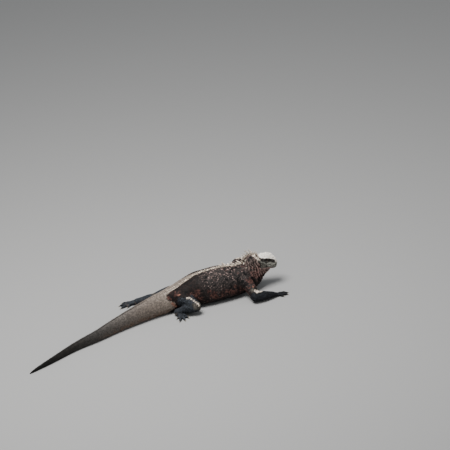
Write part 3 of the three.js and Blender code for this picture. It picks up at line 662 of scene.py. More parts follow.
def markings(points, normals):
    x, y, z = points.T
    lx, ly, lz = toHead(points).T
    legRatio = legNearness(points, True)
    small, middle = noiseAt(points, 6, 12), noiseAt(points, 15, 15)
    toRight = midlineY(x) - y
    offMidline = np.abs(toRight)
    upward = smoothStep(0.1, 0.6, normals[:, 2])
    beforeHead = smoothFall(-4, 2, lx)
    leg = smoothFall(0.98, 1.22, legRatio + 0.1 * small)
    leg = leg * smoothFall(64, 70, z + 4 * small)
    shares, nape, nostrilShade = headMarkings(lx, ly, lz, points, small, middle)
    shares["throatArea"] = shares["throatArea"] * (1 - leg)
    tail = smoothFall(-2.5, 2.5, x - hipEdgeX(toRight) + 4 * small)
    tail = tail * smoothFall(105, 125, x)
    hipRim = bump(toRight - stripHalf(x), 1.7) * smoothStep(-48, -30, x) * smoothFall(60, 90, x)
    strip = smoothFall(0.8, 1.15, offMidline / stripHalf(x) + 0.22 * small) * upward
    strip = strip * beforeHead * smoothStep(25, 60, x)
    neck = smoothStep(-12, 12, foldRun(points) + 8 * middle) * beforeHead
    # pale places behind the crown, along the strip over the hip, over the knee and here and there
    cream = np.maximum.reduce([blobs(points, markShape["cream"], small), nape, 0.7 * hipRim * upward,
                               0.75 * blobs(points, markShape["rim"], 0.5 * small)])
    height = smoothStep(40, 100, z)
    redNoise = noiseAt(points, 30, 13) + 0.7 * noiseAt(points, 9, 17)
    red = smoothStep(-0.1, 0.5, redNoise + 0.3 - 0.85 * height * (1 - neck) + 0.1 * smoothStep(190, 250, x))
    # painted glints: pale specks high on the flank stand for highlights on wet scales
    glintWhere = smoothStep(0.5, 0.9, z / 110) * smoothStep(90, 130, x) * smoothFall(240, 300, x)
    glints = smoothStep(0.3, 0.44, noiseAt(points * [1, 1, 1.8], 5.5, 18)) * glintWhere
    # more black toward the shoulder, which is painted shade there
    blackNoise = noiseAt(points, 15, 14) + 0.14 * smoothStep(205, 240, x) * (1 - neck)
    black = np.maximum(smoothStep(0.3, 0.46, blackNoise), blobs(points, markShape["dark"], small))
    # the dark line along the top of the tail
    tailTop = 0.75 * smoothFall(2.5, 5.5, offMidline + 1.5 * small) * smoothFall(-150, -100, x)
    # painted shade in the neck fold valleys and inside the nostrils, with the dark line along the top of the tail
    dark = np.maximum.reduce([foldValley(points), nostrilShade, tailTop * upward])
    return shares | dict(
        legArea=leg, tailArea=tail, backStrip=strip, neckArea=neck, creamArea=cream, redArea=red, blackAndShadeArea=black,
        glintArea=glints, heightShare=height, hollowShadeAndTailLine=dark, foldHighlight=foldCrest(points),
        rustArea=blobs(points, markShape["rust"], small), dryArea=blobs(points, markShape["dry"], small),
        # darker low on the body: painted shadow under the belly and tail; the tail's rust band also lies there
        lowShadeAndRust=smoothFall(10, 36, z), rearShade=smoothFall(60, 150, x), neckPink=smoothFall(82, 118, z),
        frontArea=smoothStep(150, 220, x) * leg, tailRun=np.clip((-x - 40) / 585, 0, 1),
    )


def setAttributes(mesh, values):
    for name, value in values.items():
        mesh.attributes.new(name, "FLOAT", "POINT").data.foreach_set("value", np.asarray(value, np.float32))


skinPoints = readPoints(skin.data)
skinNormals = readNormals(skin.data)
# the bare skin counts as the foot of a scale, so it takes the painted shade of scale roots
plainSkin = dict(scaleTone=np.full(len(skinPoints), 0.3), scaleRise=np.zeros(len(skinPoints)))
setAttributes(skin.data, markings(skinPoints, skinNormals) | plainSkin)
print("markings")

# The unwrap of the skin that the coat's own maps follow

selectOnly(skin)
bpy.ops.object.mode_set(mode="EDIT")
bpy.ops.mesh.select_all(action="SELECT")
bpy.ops.mesh.quads_convert_to_tris()
bpy.ops.uv.smart_project(angle_limit=math.radians(66), island_margin=0.002)
bpy.ops.object.mode_set(mode="OBJECT")
skin.data.uv_layers.active.name = "OFBake"
print("unwrapped", len(skin.data.polygons))

triangles = readTriangles(skin.data)
triangleUvs = readRows(skin.data.uv_layers["OFBake"].data, "uv", 2).reshape(-1, 3, 2)
skinTree = BVHTree.FromPolygons([tuple(p) for p in skinPoints], triangles.tolist())

# Scales: one unit is modelled, then set many times over the skin


def unitFrom(obj):
    # points and triangles of a modelled unit, whose object is then removed
    applyModifier(obj, "TRIANGULATE")
    points, corners = readPoints(obj.data), readTriangles(obj.data)
    bpy.data.objects.remove(obj)
    return points, corners


def startUnit(addPrimitive, **settings):
    # a new primitive, open for modelling with all of it selected
    bpy.ops.object.select_all(action="DESELECT")
    addPrimitive(**settings)
    obj = bpy.context.object
    bpy.ops.object.mode_set(mode="EDIT")
    bpy.ops.mesh.select_all(action="SELECT")
    return obj


def extrudeBy(step, resize=None):
    bpy.ops.mesh.extrude_region_move(TRANSFORM_OT_translate={"value": step})
    if resize:
        bpy.ops.transform.resize(value=resize)


def endUnit(obj):
    bpy.ops.object.mode_set(mode="OBJECT")
    bpy.ops.object.transform_apply(location=True, rotation=True, scale=True)
    return obj


def granuleUnit(sides, shoulder, shoulderRise):
    # a low cone with a rounded shoulder, one unit wide and high
    root = -0.35
    obj = startUnit(bpy.ops.mesh.primitive_circle_add, vertices=sides, radius=1, fill_type="NOTHING",
                    location=(0, 0, root))
    extrudeBy((0, 0, shoulderRise - root), (shoulder, shoulder, 1))
    extrudeBy((0, 0, 1 - shoulderRise))
    bpy.ops.mesh.merge(type="CENTER")
    return unitFrom(endUnit(obj))


def spineUnit(sides, steps, taper):
    # a spine that tapers to its tip, one unit wide and high
    rise, width = -0.15, 1.0
    obj = startUnit(bpy.ops.mesh.primitive_circle_add, vertices=sides, radius=1, fill_type="NOTHING",
                    location=(0, 0, rise))
    for k in range(1, steps + 1):
        nextRise = 0.97 * (k / steps)
        nextWidth = (1 - (k / steps) ** taper) * 0.92 + 0.08
        extrudeBy((0, 0, nextRise - rise), (nextWidth / width, nextWidth / width, 1))
        rise, width = nextRise, nextWidth
    extrudeBy((0, 0, 1 - rise))
    bpy.ops.mesh.merge(type="CENTER")
    return unitFrom(endUnit(obj))


def keelUnit():
    # a four sided scale with a keel that rises to its rear edge
    obj = startUnit(bpy.ops.mesh.primitive_plane_add, size=2, location=(0, 0, -0.5))
    extrudeBy((0, 0, 0.75), (0.9, 0.86, 1))
    extrudeBy((-0.35, 0, 0.6), (0.45, 0.12, 1))
    return unitFrom(endUnit(obj))


granule = granuleUnit(6, 0.66, 0.6)
cone = granuleUnit(7, 0.62, 0.45)
plate = granuleUnit(8, 0.8, 0.75)
spine = spineUnit(8, 6, 1.4)
keel = keelUnit()


def rootsOnSkin(spacingOf, seed, tries=9):
    # evenly spread roots, with the spacing set by place
    rng = np.random.default_rng(seed)
    a, b, c = (skinPoints[triangles[:, k]] for k in range(3))
    areas = np.linalg.norm(np.cross(b - a, c - a), axis=1) / 2
    spacing = spacingOf((a + b + c) / 3)
    wanted = np.where(spacing > 0, areas / np.maximum(spacing, 0.1) ** 2, 0)
    picks = rng.choice(len(areas), int(wanted.sum() * tries), p=wanted / wanted.sum())
    u, v = np.sqrt(rng.random(len(picks))), rng.random(len(picks))
    weights = np.stack([1 - u, u * (1 - v), u * v], 1)
    places = np.einsum("nk,nkj->nj", weights, skinPoints[triangles[picks]])
    gaps = spacing[picks]
    cell = gaps.max()
    around = list(itertools.product((-1, 0, 1), repeat=3))
    taken, kept = {}, []
    for index, ((x, y, z), gap) in enumerate(zip(places.tolist(), gaps.tolist())):
        i, j, k = int(x // cell), int(y // cell), int(z // cell)
        others = (other for a, b, c in around for other in taken.get((i + a, j + b, k + c), ()))
        if all((p - x) ** 2 + (q - y) ** 2 + (r - z) ** 2 >= gap * gap for p, q, r in others):
            taken.setdefault((i, j, k), []).append((x, y, z))
            kept.append(index)
    kept = np.array(kept)
    normals = np.einsum("nk,nkj->nj", weights[kept], skinNormals[triangles[picks[kept]]])
    normals /= np.linalg.norm(normals, axis=1)[:, None]
    uvs = np.einsum("nk,nkj->nj", weights[kept], triangleUvs[picks[kept]])
    return places[kept], normals, uvs, gaps[kept]


def skinUvAt(places):
    # the place of points on the skin's unwrap
    uvs = []
    for place in places:
        found, _, face, _ = skinTree.find_nearest(Vector(place))
        a, b, c = (Vector(p) for p in skinPoints[triangles[face]])
        whole = (b - a).cross(c - a).length
        parts = np.array([(b - found).cross(c - found).length, (c - found).cross(a - found).length,
                          (a - found).cross(b - found).length]) / max(whole, 1e-9)
        uvs.append(parts @ triangleUvs[face] / max(parts.sum(), 1e-9))
    return np.array(uvs)


def onSkinFrom(centre, direction):
    hit, normal, _, _ = skinTree.ray_cast(Vector(centre), Vector(direction))
    return (np.array(hit), np.array(normal)) if hit is not None else (None, None)


def copyUnits(unit, roots, axes, sizes, lean):
    # every copy of a unit as one set of points, with axes and sizes along, across and up
    unitPoints, unitFaces = unit
    along, across, up = axes
    ux, uy, uz = unitPoints.T
    rise = np.maximum(uz, 0)
    offsets = (ux[None, :, None] * (along * sizes[:, 0:1])[:, None, :]
               + uy[None, :, None] * (across * sizes[:, 1:2])[:, None, :]
               + uz[None, :, None] * (up * sizes[:, 2:3])[:, None, :]
               - (rise**1.5)[None, :, None] * (along * (lean * sizes[:, 2])[:, None])[:, None, :])
    places = (roots[:, None, :] + offsets).reshape(-1, 3)
    starts = np.arange(len(roots)) * len(unitPoints)
    faces = (unitFaces[None] + starts[:, None, None]).reshape(-1, 3)
    return places, faces, np.tile(rise, len(roots))


bakePatch = 0.003


def coatPiece(name, unit, roots, axes, sizes, lean, uvs, tones, normals, smooth=True, extra=None):
    # one coat piece: many copies as one mesh, with markings taken at each root and a small map patch each
    places, faces, rise = copyUnits(unit, roots, axes, sizes, lean)
    perUnit = len(unit[0])
    mesh = bpy.data.meshes.new(name)
    mesh.vertices.add(len(places))
    mesh.vertices.foreach_set("co", toRow(places).ravel())
    mesh.loops.add(faces.size)
    mesh.loops.foreach_set("vertex_index", faces.ravel())
    mesh.polygons.add(len(faces))
    mesh.polygons.foreach_set("loop_start", np.arange(0, faces.size, 3))
    mesh.polygons.foreach_set("use_smooth", np.full(len(faces), smooth))
    mesh.update(calc_edges=True)
    flat = unit[0][:, :2] / 2 * bakePatch
    vertexUvs = (uvs[:, None, :] + flat[None]).reshape(-1, 2)
    layer = mesh.uv_layers.new(name="OFBake")
    layer.data.foreach_set("uv", vertexUvs[faces.ravel()].ravel())
    shares = markings(roots, normals) | (extra or {})
    marks = {key: np.repeat(value, perUnit) for key, value in shares.items()}
    setAttributes(mesh, marks | dict(scaleTone=np.repeat(tones, perUnit), scaleRise=rise))
    obj = bpy.data.objects.new(name, mesh)
    bpy.context.scene.collection.objects.link(obj)
    print(name, len(roots), "units", len(faces), "triangles")
    return obj


def axesFrom(normals, forward):
    # along, across and up for each root, with along near the given direction
    along = forward - normals * np.sum(forward * normals, axis=1)[:, None]
    along /= np.maximum(np.linalg.norm(along, axis=1), 1e-6)[:, None]
    return along, np.cross(normals, along), normals


lipRow = dict(offset=2.7, start=21, end=69, step=3.9, long=2.2, wide=1.9, height=1.1)
scaleSizes = dict(trunk=3.3, neck=3.1, leg=2.9, foot=2.3, cheek=2.4, crown=4.4, tailFrom=-48, foreFrom=130,
                  legReach=1.2, coverage=0.71, lean=0.35, trunkHeight=0.27, legHeight=0.28, faceHeight=0.26)


def headParts(places):
    # what is on the head, what of that is above the throat, and what is on the crown
    x, _, z = toHead(places).T
    onHead = x > 1
    return onHead, onHead & (z > -27), onHead & (z > 15 - 8 * smoothStep(48, 60, x))


def scaleSpacing(places):
    x, _, z = places.T
    lx, ly, lz = toHead(places).T
    legRatio = legNearness(places)
    leg = smoothFall(1.0, 1.35, legRatio)
    toNeck = smoothStep(-10, 20, foldRun(places))
    spacing = scaleSizes["trunk"] + (scaleSizes["neck"] - scaleSizes["trunk"]) * toNeck
    limb = np.where(z < 16, scaleSizes["foot"], scaleSizes["leg"])
    spacing = spacing * (1 - leg) + limb * leg
    head, face, crown = headParts(places)
    spacing = np.where(face, scaleSizes["cheek"], spacing)
    mixed = scaleSizes["crown"] * (0.62 + 0.62 * smoothStep(-0.25, 0.35, noiseAt(places, 7, 20)))
    spacing = np.where(crown, mixed * (1 - 0.3 * smoothStep(52, 68, lx)), spacing)
    # no scales on the eyes, nostrils, lips, tail or underside
    nearEye = np.hypot(lx - eyeShape["place"][0], lz - eyeShape["place"][2]) < 7.2
    nearNostril = (np.hypot(lx - nostrilShape["place"][0], lz - nostrilShape["place"][2]) < 3.4) & (lx > 50)
    lips = (np.abs(lz - mouthLine(lx)) < lipRow["offset"] + 1.6) & (lx > 19)
    bare = head & (np.abs(ly) > 10) & (nearEye | nearNostril)
    tail = (x < scaleSizes["tailFrom"]) & (legRatio > 1.15)
    return np.where(bare | (lips & head) | tail | (z < 2.5), 0, spacing)


roots, rootNormals, rootUvs, rootGaps = rootsOnSkin(scaleSpacing, 5)
tones = np.random.default_rng(9).random(len(roots))
_, onHead, onCrown = headParts(roots)
legClose = legNearness(roots) < scaleSizes["legReach"]
pieces = []


def layAtRoots(name, unit, chosen, forward, sizes, lean, smooth):
    axes = axesFrom(rootNormals[chosen], forward)
    pieces.append(coatPiece(name, unit, roots[chosen], axes, sizes, lean, rootUvs[chosen], tones[chosen],
                            rootNormals[chosen], smooth))


def layScales(name, chosen, heightShare, seed):
    draw = np.random.default_rng(seed)
    count = int(chosen.sum())
    size = rootGaps[chosen] * scaleSizes["coverage"] * draw.uniform(0.9, 1.12, count)
    height = rootGaps[chosen] * heightShare * draw.uniform(0.8, 1.2, count)
    sizes = np.stack([size * 1.06, size * 0.96, height], 1)
    forward = np.tile([1.0, 0, 0.05], (count, 1)) + draw.uniform(-0.25, 0.25, (count, 3))
    layAtRoots(name, granule, chosen, forward, sizes, scaleSizes["lean"], True)


foreHalf = roots[:, 0] > scaleSizes["foreFrom"]
onTrunk, onLegs = ~onHead & ~legClose, ~onHead & legClose
layScales("scalesForeTrunk", onTrunk & foreHalf, scaleSizes["trunkHeight"], 21)
layScales("scalesRearTrunk", onTrunk & ~foreHalf, scaleSizes["trunkHeight"], 22)
layScales("scalesForelegs", onLegs & foreHalf, scaleSizes["legHeight"], 23)
layScales("scalesHindLegs", onLegs & ~foreHalf, scaleSizes["legHeight"], 24)
layScales("scalesFace", onHead & ~onCrown, scaleSizes["faceHeight"], 25)

crownScales = dict(width=0.6, low=0.42, high=0.5, highestAt=38, run=15, lean=0.1)


def layCrown():
    # pointed scales, the highest of them above the eyes
    draw = np.random.default_rng(31)
    count = int(onCrown.sum())
    gap = rootGaps[onCrown]
    fromHighest = toHead(roots[onCrown])[:, 0] - crownScales["highestAt"]
    heightShare = crownScales["low"] + crownScales["high"] * bump(fromHighest, crownScales["run"])
    height = gap * heightShare * draw.uniform(0.65, 1.4, count)
    size = gap * crownScales["width"] * draw.uniform(0.85, 1.15, count)
    forward = np.tile([1.0, 0, 0], (count, 1))
    layAtRoots("scalesCrown", cone, onCrown, forward, np.stack([size, size, height], 1), crownScales["lean"], False)


layCrown()


def layLips():
    # a row of larger flat scales along each lip
    found = []
    for side in (-1, 1):
        for above in (-1, 1):
            for lx in np.arange(lipRow["start"], lipRow["end"], lipRow["step"]):
                inner = fromHead((lx, 0, mouthLine(lx) + above * lipRow["offset"]))
                hit, normal = onSkinFrom(inner, fromHead((0, side, 0)) - headShape["rear"])
                if hit is not None and np.linalg.norm(hit - inner) < 34:
                    found.append((hit, normal))
    places, normals = (np.array(column) for column in zip(*found))
    draw = np.random.default_rng(61)
    count = len(places)
    sizes = np.stack([np.full(count, lipRow["long"]), lipRow["wide"] * draw.uniform(0.9, 1.1, count),
                      lipRow["height"] * draw.uniform(0.8, 1.2, count)], 1)
    forward = np.tile(fromHead((1, 0, 0)) - headShape["rear"], (count, 1))
    pieces.append(coatPiece("scalesLips", plate, places, axesFrom(normals, forward), sizes, 0,
                            skinUvAt(places), draw.uniform(0.3, 1, count), normals))


# distance between rings, a scale's width and height, half its length over the distance, half its width over the width
tailRings = dict(step=5.4, width=4.5, height=1.1, halfLong=0.6, halfWide=0.56)


def layTailRings():
    # rings of keeled scales round the tail
    tipX, startX = bodyShape["tailTip"] + 8, scaleSizes["tailFrom"] + 3
    xs = np.arange(tipX, startX, 0.5)
    ys = midlineY(xs)
    lengths = np.concatenate([[0], np.cumsum(np.hypot(np.diff(xs), np.diff(ys)))])
    found = []
    for stop in np.arange(0, lengths[-1], tailRings["step"]):
        x = float(np.interp(stop, lengths, xs))
        slope = float((midlineY(x + 2) - midlineY(x - 2)) / 4)
        forward = np.array([1, slope, 0]) / math.hypot(1, slope)
        leftward = np.array([-forward[1], forward[0], 0])
        top, half = float(backZ(x)), float(bodyHalf(x))
        centre = np.array([x, float(midlineY(x)), top * 0.48])
        perimeter = 2 * math.pi * math.sqrt(((top / 2) ** 2 + half**2) / 2)
        count = max(6, round(perimeter / tailRings["width"]))
        for turn in (np.arange(count) + 0.5) / count * 2 * math.pi:
            aim = leftward * half * math.sin(turn) + np.array([0, 0, top / 2]) * math.cos(turn)
            hit, normal = onSkinFrom(centre, aim / np.linalg.norm(aim))
            if hit is not None and hit[2] > 2.2 and np.linalg.norm(hit - centre) < 1.6 * np.linalg.norm(aim) + 3:
                width = min(tailRings["width"], perimeter / count)
                found.append((hit, normal, forward, width, stop))
    places, normals, forward, widths, stops = (np.array(column) for column in zip(*found))
    rings = np.round(stops / tailRings["step"])
    draw = np.random.default_rng(41)
    count = len(places)
    shrink = np.clip(widths / tailRings["width"], 0.5, 1)
    sizes = np.stack([np.full(count, tailRings["step"] * tailRings["halfLong"]), widths * tailRings["halfWide"],
                      tailRings["height"] * draw.uniform(0.8, 1.25, count) * shrink], 1)
    # each ring has a tone of its own, with some spread inside it
    tone = 0.55 * draw.random(count) + 0.45 * ((rings * 0.37) % 1)
    pieces.append(coatPiece("scalesTail", keel, places, axesFrom(normals, forward), sizes, 0,
                            skinUvAt(places), tone, normals, False))


layTailRings()
layLips()

# Crest

crestShape = dict(
    height=[(-612, 2.6), (-450, 4.5), (-250, 6), (-60, 6), (40, 7), (120, 8), (180, 8.5), (225, 9),
            (262, 9), (276, 12), (284, 18), (294, 24), (304, 28), (313, 31), (322, 29), (332, 23), (341, 15)],
    tailEnd=-30, backEnd=279, end=344,
    tail=dict(spacing=5.6, long=3, wide=1.4, lean=0.85, upright=0),
    back=dict(spacing=7.8, long=4.1, wide=2.2, lean=0.6, upright=0.5),
    nape=dict(spacing=6.2, long=3.1, wide=2.4, lean=0.6, upright=0.75),
    # broad hooked spines that stand far above the rest: x, then height
    hooks=[(196, 13), (211, 22), (230, 12), (247, 20), (262, 14), (272, 20)],
    hook=dict(long=7.4, wide=3, lean=0.75, upright=0.6),
    paleness=[(-612, 0.05), (-120, 0.12), (-40, 0.5), (30, 0.85), (200, 1), (345, 0.85)],
)
topLine = stations[:, :3]


def topPoint(x):
    return np.array([np.interp(x, topLine[:, 0], topLine[:, k]) for k in range(3)])


def crestRow(x, part, tall, draw):
    # root, directions and sizes of one spine on the line of the back
    hit, normal, _, _ = skinTree.find_nearest(Vector(topPoint(x) + [0, 0, 2]))
    ahead = topPoint(x + 2) - topPoint(x - 2)
    ahead /= np.linalg.norm(ahead)
    up = np.array(normal) * (1 - part["upright"]) + np.array([0, 0, 1]) * part["upright"]
    across = np.cross(up, ahead)
    across /= np.linalg.norm(across)
    up = up / np.linalg.norm(up) + across * draw.uniform(-0.12, 0.12)
    wide = draw.uniform(0.85, 1.15)
    return (np.array(hit) - up * 0.8, ahead, across, up, (part["long"] * wide, part["wide"] * wide, tall),
            part["lean"] * draw.uniform(0.7, 1.25), np.array(normal))


def layCrest():
    heightAt, paleAt = smoothProfile(crestShape["height"]), smoothProfile(crestShape["paleness"])
    draw = np.random.default_rng(51)
    rows = [crestRow(x, crestShape["hook"], tall, draw) for x, tall in crestShape["hooks"]]
    x = crestShape["height"][0][0]
    while x < crestShape["end"]:
        part = crestShape["tail" if x < crestShape["tailEnd"] else "back" if x < crestShape["backEnd"] else "nape"]
        rows.append(crestRow(x, part, heightAt(x) * draw.uniform(0.75, 1.15), draw))
        x += part["spacing"] * draw.uniform(0.85, 1.15) * rows[-1][1][0]
    roots, ahead, across, up, sizes, lean, normals = (np.array(column) for column in zip(*rows))
    extra = dict(creamArea=paleAt(roots[:, 0]), tailArea=(roots[:, 0] < 0) * 1.0, hollowShadeAndTailLine=np.zeros(len(roots)))
    pieces.append(coatPiece("crestSpines", spine, roots, (ahead, across, up), sizes, lean, skinUvAt(roots),
                            draw.uniform(0.3, 1, len(roots)), normals, extra=extra))


layCrest()

# Claws and eyes

clawShape = dict(rootDepth=2.5, rootHeight=3.2, slim=0.62, lowest=0.2)


def clawUnit():
    # a curved, tapering claw along +x, one unit long, half a unit deep at its root
    root, steps = -0.12, 9
    obj = startUnit(bpy.ops.mesh.primitive_circle_add, vertices=14, radius=1, fill_type="NGON",
                    location=(root, 0, 0), rotation=(0, math.pi / 2, 0))
    width, place, drop = 1.0, root, 0.0
    for k in range(1, steps + 1):
        t = k / steps
        nextPlace, nextWidth = root + 1.12 * t, max((1 - t**1.35), 0.05)
        nextDrop = 0.09 * math.sin(math.pi * min(t * 1.15, 1)) - 0.2 * t**2.2
        extrudeBy((nextPlace - place, 0, nextDrop - drop), (1, nextWidth / width, nextWidth / width))
        width, place, drop = nextWidth, nextPlace, nextDrop
    bpy.ops.mesh.merge(type="CENTER")
    bpy.ops.mesh.select_all(action="SELECT")
    bpy.ops.mesh.normals_make_consistent(inside=False)
    return endUnit(obj)


def buildClaws(material):
    master = clawUnit()
    for name, leg in legShapes.items():
        deep = toesOf(name)["clawDeep"] * mm
        ball = toRow(leg["ball"])
        for number in range(1, 6):
            cloud = nodeCloud(f"{name}_claw_{number}")
            distance = np.linalg.norm(cloud - ball, axis=1)
            tip = cloud[np.argmax(distance)]
            base = cloud[distance < distance.min() + clawShape["rootDepth"] * mm].mean(0)
            base[2] = max(base[2], clawShape["rootHeight"] * mm)
            run = tip - base
            flat = Vector((run[0], run[1], 0)).normalized()
            across = Vector((0, 0, 1)).cross(flat)
            length = np.linalg.norm(run[:2])
            piece = master.copy()
            piece.data = master.data.copy()
            piece.name = f"claw_{name}_{number}"
            bpy.context.scene.collection.objects.link(piece)
            unit = readPoints(piece.data)
            heightHere = base[2] + (tip[2] - base[2]) * np.clip(unit[:, 0], 0, 1)
            places = (base[:2] + np.outer(unit[:, 0] * length, np.array(flat)[:2])
                      + np.outer(unit[:, 1] * deep * clawShape["slim"], np.array(across)[:2]))
            heights = heightHere + unit[:, 2] * deep
            writePoints(piece.data, np.column_stack([places, np.maximum(heights, clawShape["lowest"] * mm)]))
            setAttributes(piece.data, dict(clawRun=np.clip(unit[:, 0], 0, 1)))
            shadeSmooth(piece.data)
            piece.data.materials.append(material)
            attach(piece, "root")
            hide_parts(f"{name}_claw_{number}")
    bpy.data.objects.remove(master)


def buildEye(name, side, material):
    centre = toRow(fromHead((eyeShape["place"][0], side * eyeShape["place"][1], eyeShape["place"][2])))
    gaze = Vector(headTurn @ np.array([0.22, side, 0.1])).normalized()
    bpy.ops.object.select_all(action="DESELECT")
    bpy.ops.mesh.primitive_uv_sphere_add(segments=48, ring_count=32, radius=1)
    eye = bpy.context.object
    eye.name = name
    unit = readPoints(eye.data)
    polar = np.arccos(np.clip(unit[:, 2], -1, 1))
    cornea = 1 + 0.045 * np.exp(-(polar / 0.55) ** 2)
    turn = np.array(gaze.to_track_quat("Z", "Y").to_matrix())
    writePoints(eye.data, (unit * cornea[:, None]) @ turn.T * eyeShape["radius"] * mm + centre)
    setAttributes(eye.data, dict(fromPupil=polar / math.pi))
    shadeSmooth(eye.data)
    eye.data.materials.append(material)
    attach(eye, "root")
    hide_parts(f"eye_{'left' if side > 0 else 'right'}")


# Materials


def linear(red, green, blue):
    # a colour as 0 to 255 on the screen, as Blender's own linear values
    def one(value):
        value /= 255
        return value / 12.92 if value < 0.04045 else ((value + 0.055) / 1.055) ** 2.4
    return (one(red), one(green), one(blue), 1)


class Wiring:
    # short calls that add and join shader nodes in one tree
    def __init__(self, tree):
        self.tree = tree

    def add(self, kind, settings=None, **inputs):
        node = self.tree.nodes.new(kind)
        for key, value in (settings or {}).items():
            setattr(node, key, value)
        self.feed(node, inputs)
        return node

    def feed(self, node, values):
        # sockets are given by name, or as i0, i1 and so on
        for key, value in values.items():
            socket = node.inputs[int(key[1:])] if key[0] == "i" and key[1:].isdigit() else node.inputs[key]
            if isinstance(value, bpy.types.NodeSocket):
                self.tree.links.new(value, socket)
            else:
                socket.default_value = value

    def attribute(self, name):
        return self.add("ShaderNodeAttribute", dict(attribute_name=name)).outputs["Fac"]

    def maths(self, operation, first, second=0.0, clamp=False):
        node = self.add("ShaderNodeMath", dict(operation=operation, use_clamp=clamp), i0=first, i1=second)
        return node.outputs[0]

    def mix(self, share, first, second, blend="MIX"):
        node = self.add("ShaderNodeMix", dict(data_type="RGBA", blend_type=blend), i0=share, i6=first, i7=second)
        return node.outputs[2]

    def noise(self, coordinates, scale, detail=3, roughness=0.55):
        node = self.add("ShaderNodeTexNoise", Vector=coordinates, Scale=scale, Detail=detail, Roughness=roughness)
        return node.outputs["Fac"]

    def ramp(self, value, low, high):
        node = self.add("ShaderNodeMapRange", dict(interpolation_type="SMOOTHSTEP"))
        self.feed(node, {"Value": value, "From Min": low, "From Max": high})
        return node.outputs[0]


iguanaColours = dict(
    # blackAndShade is both the hide's black marks and painted shade
    charcoal=linear(37, 31, 29), upper=linear(50, 45, 43), brick=linear(76, 49, 43), blackAndShade=linear(10, 9, 9),
    fleck=linear(116, 98, 94), glint=linear(146, 124, 117), strip=linear(176, 158, 138), gap=linear(34, 29, 26),
    rear=linear(24, 14, 11), rust=linear(142, 98, 82), leg=linear(40, 43, 48), legPale=linear(78, 81, 83),
    foreleg=linear(23, 24, 28), dry=linear(78, 73, 66), neck=linear(84, 72, 67), neckRed=linear(142, 104, 97),
    cream=linear(222, 206, 188), crown=linear(250, 244, 234), crownTan=linear(206, 190, 170),
    # brow: painted shade under the crown's crust
    face=linear(88, 84, 77), lip=linear(138, 136, 127), brow=linear(24, 22, 20), throat=linear(138, 112, 105),
    foldHighlight=linear(150, 128, 118),
    tail=[(0, linear(124, 113, 103)), (0.15, linear(108, 98, 90)), (0.32, linear(90, 84, 79)),
          (0.5, linear(64, 61, 58)), (0.7, linear(40, 37, 34)), (0.9, linear(20, 18, 16)), (1, linear(14, 13, 11))],
    tailRust=linear(96, 79, 67),
)


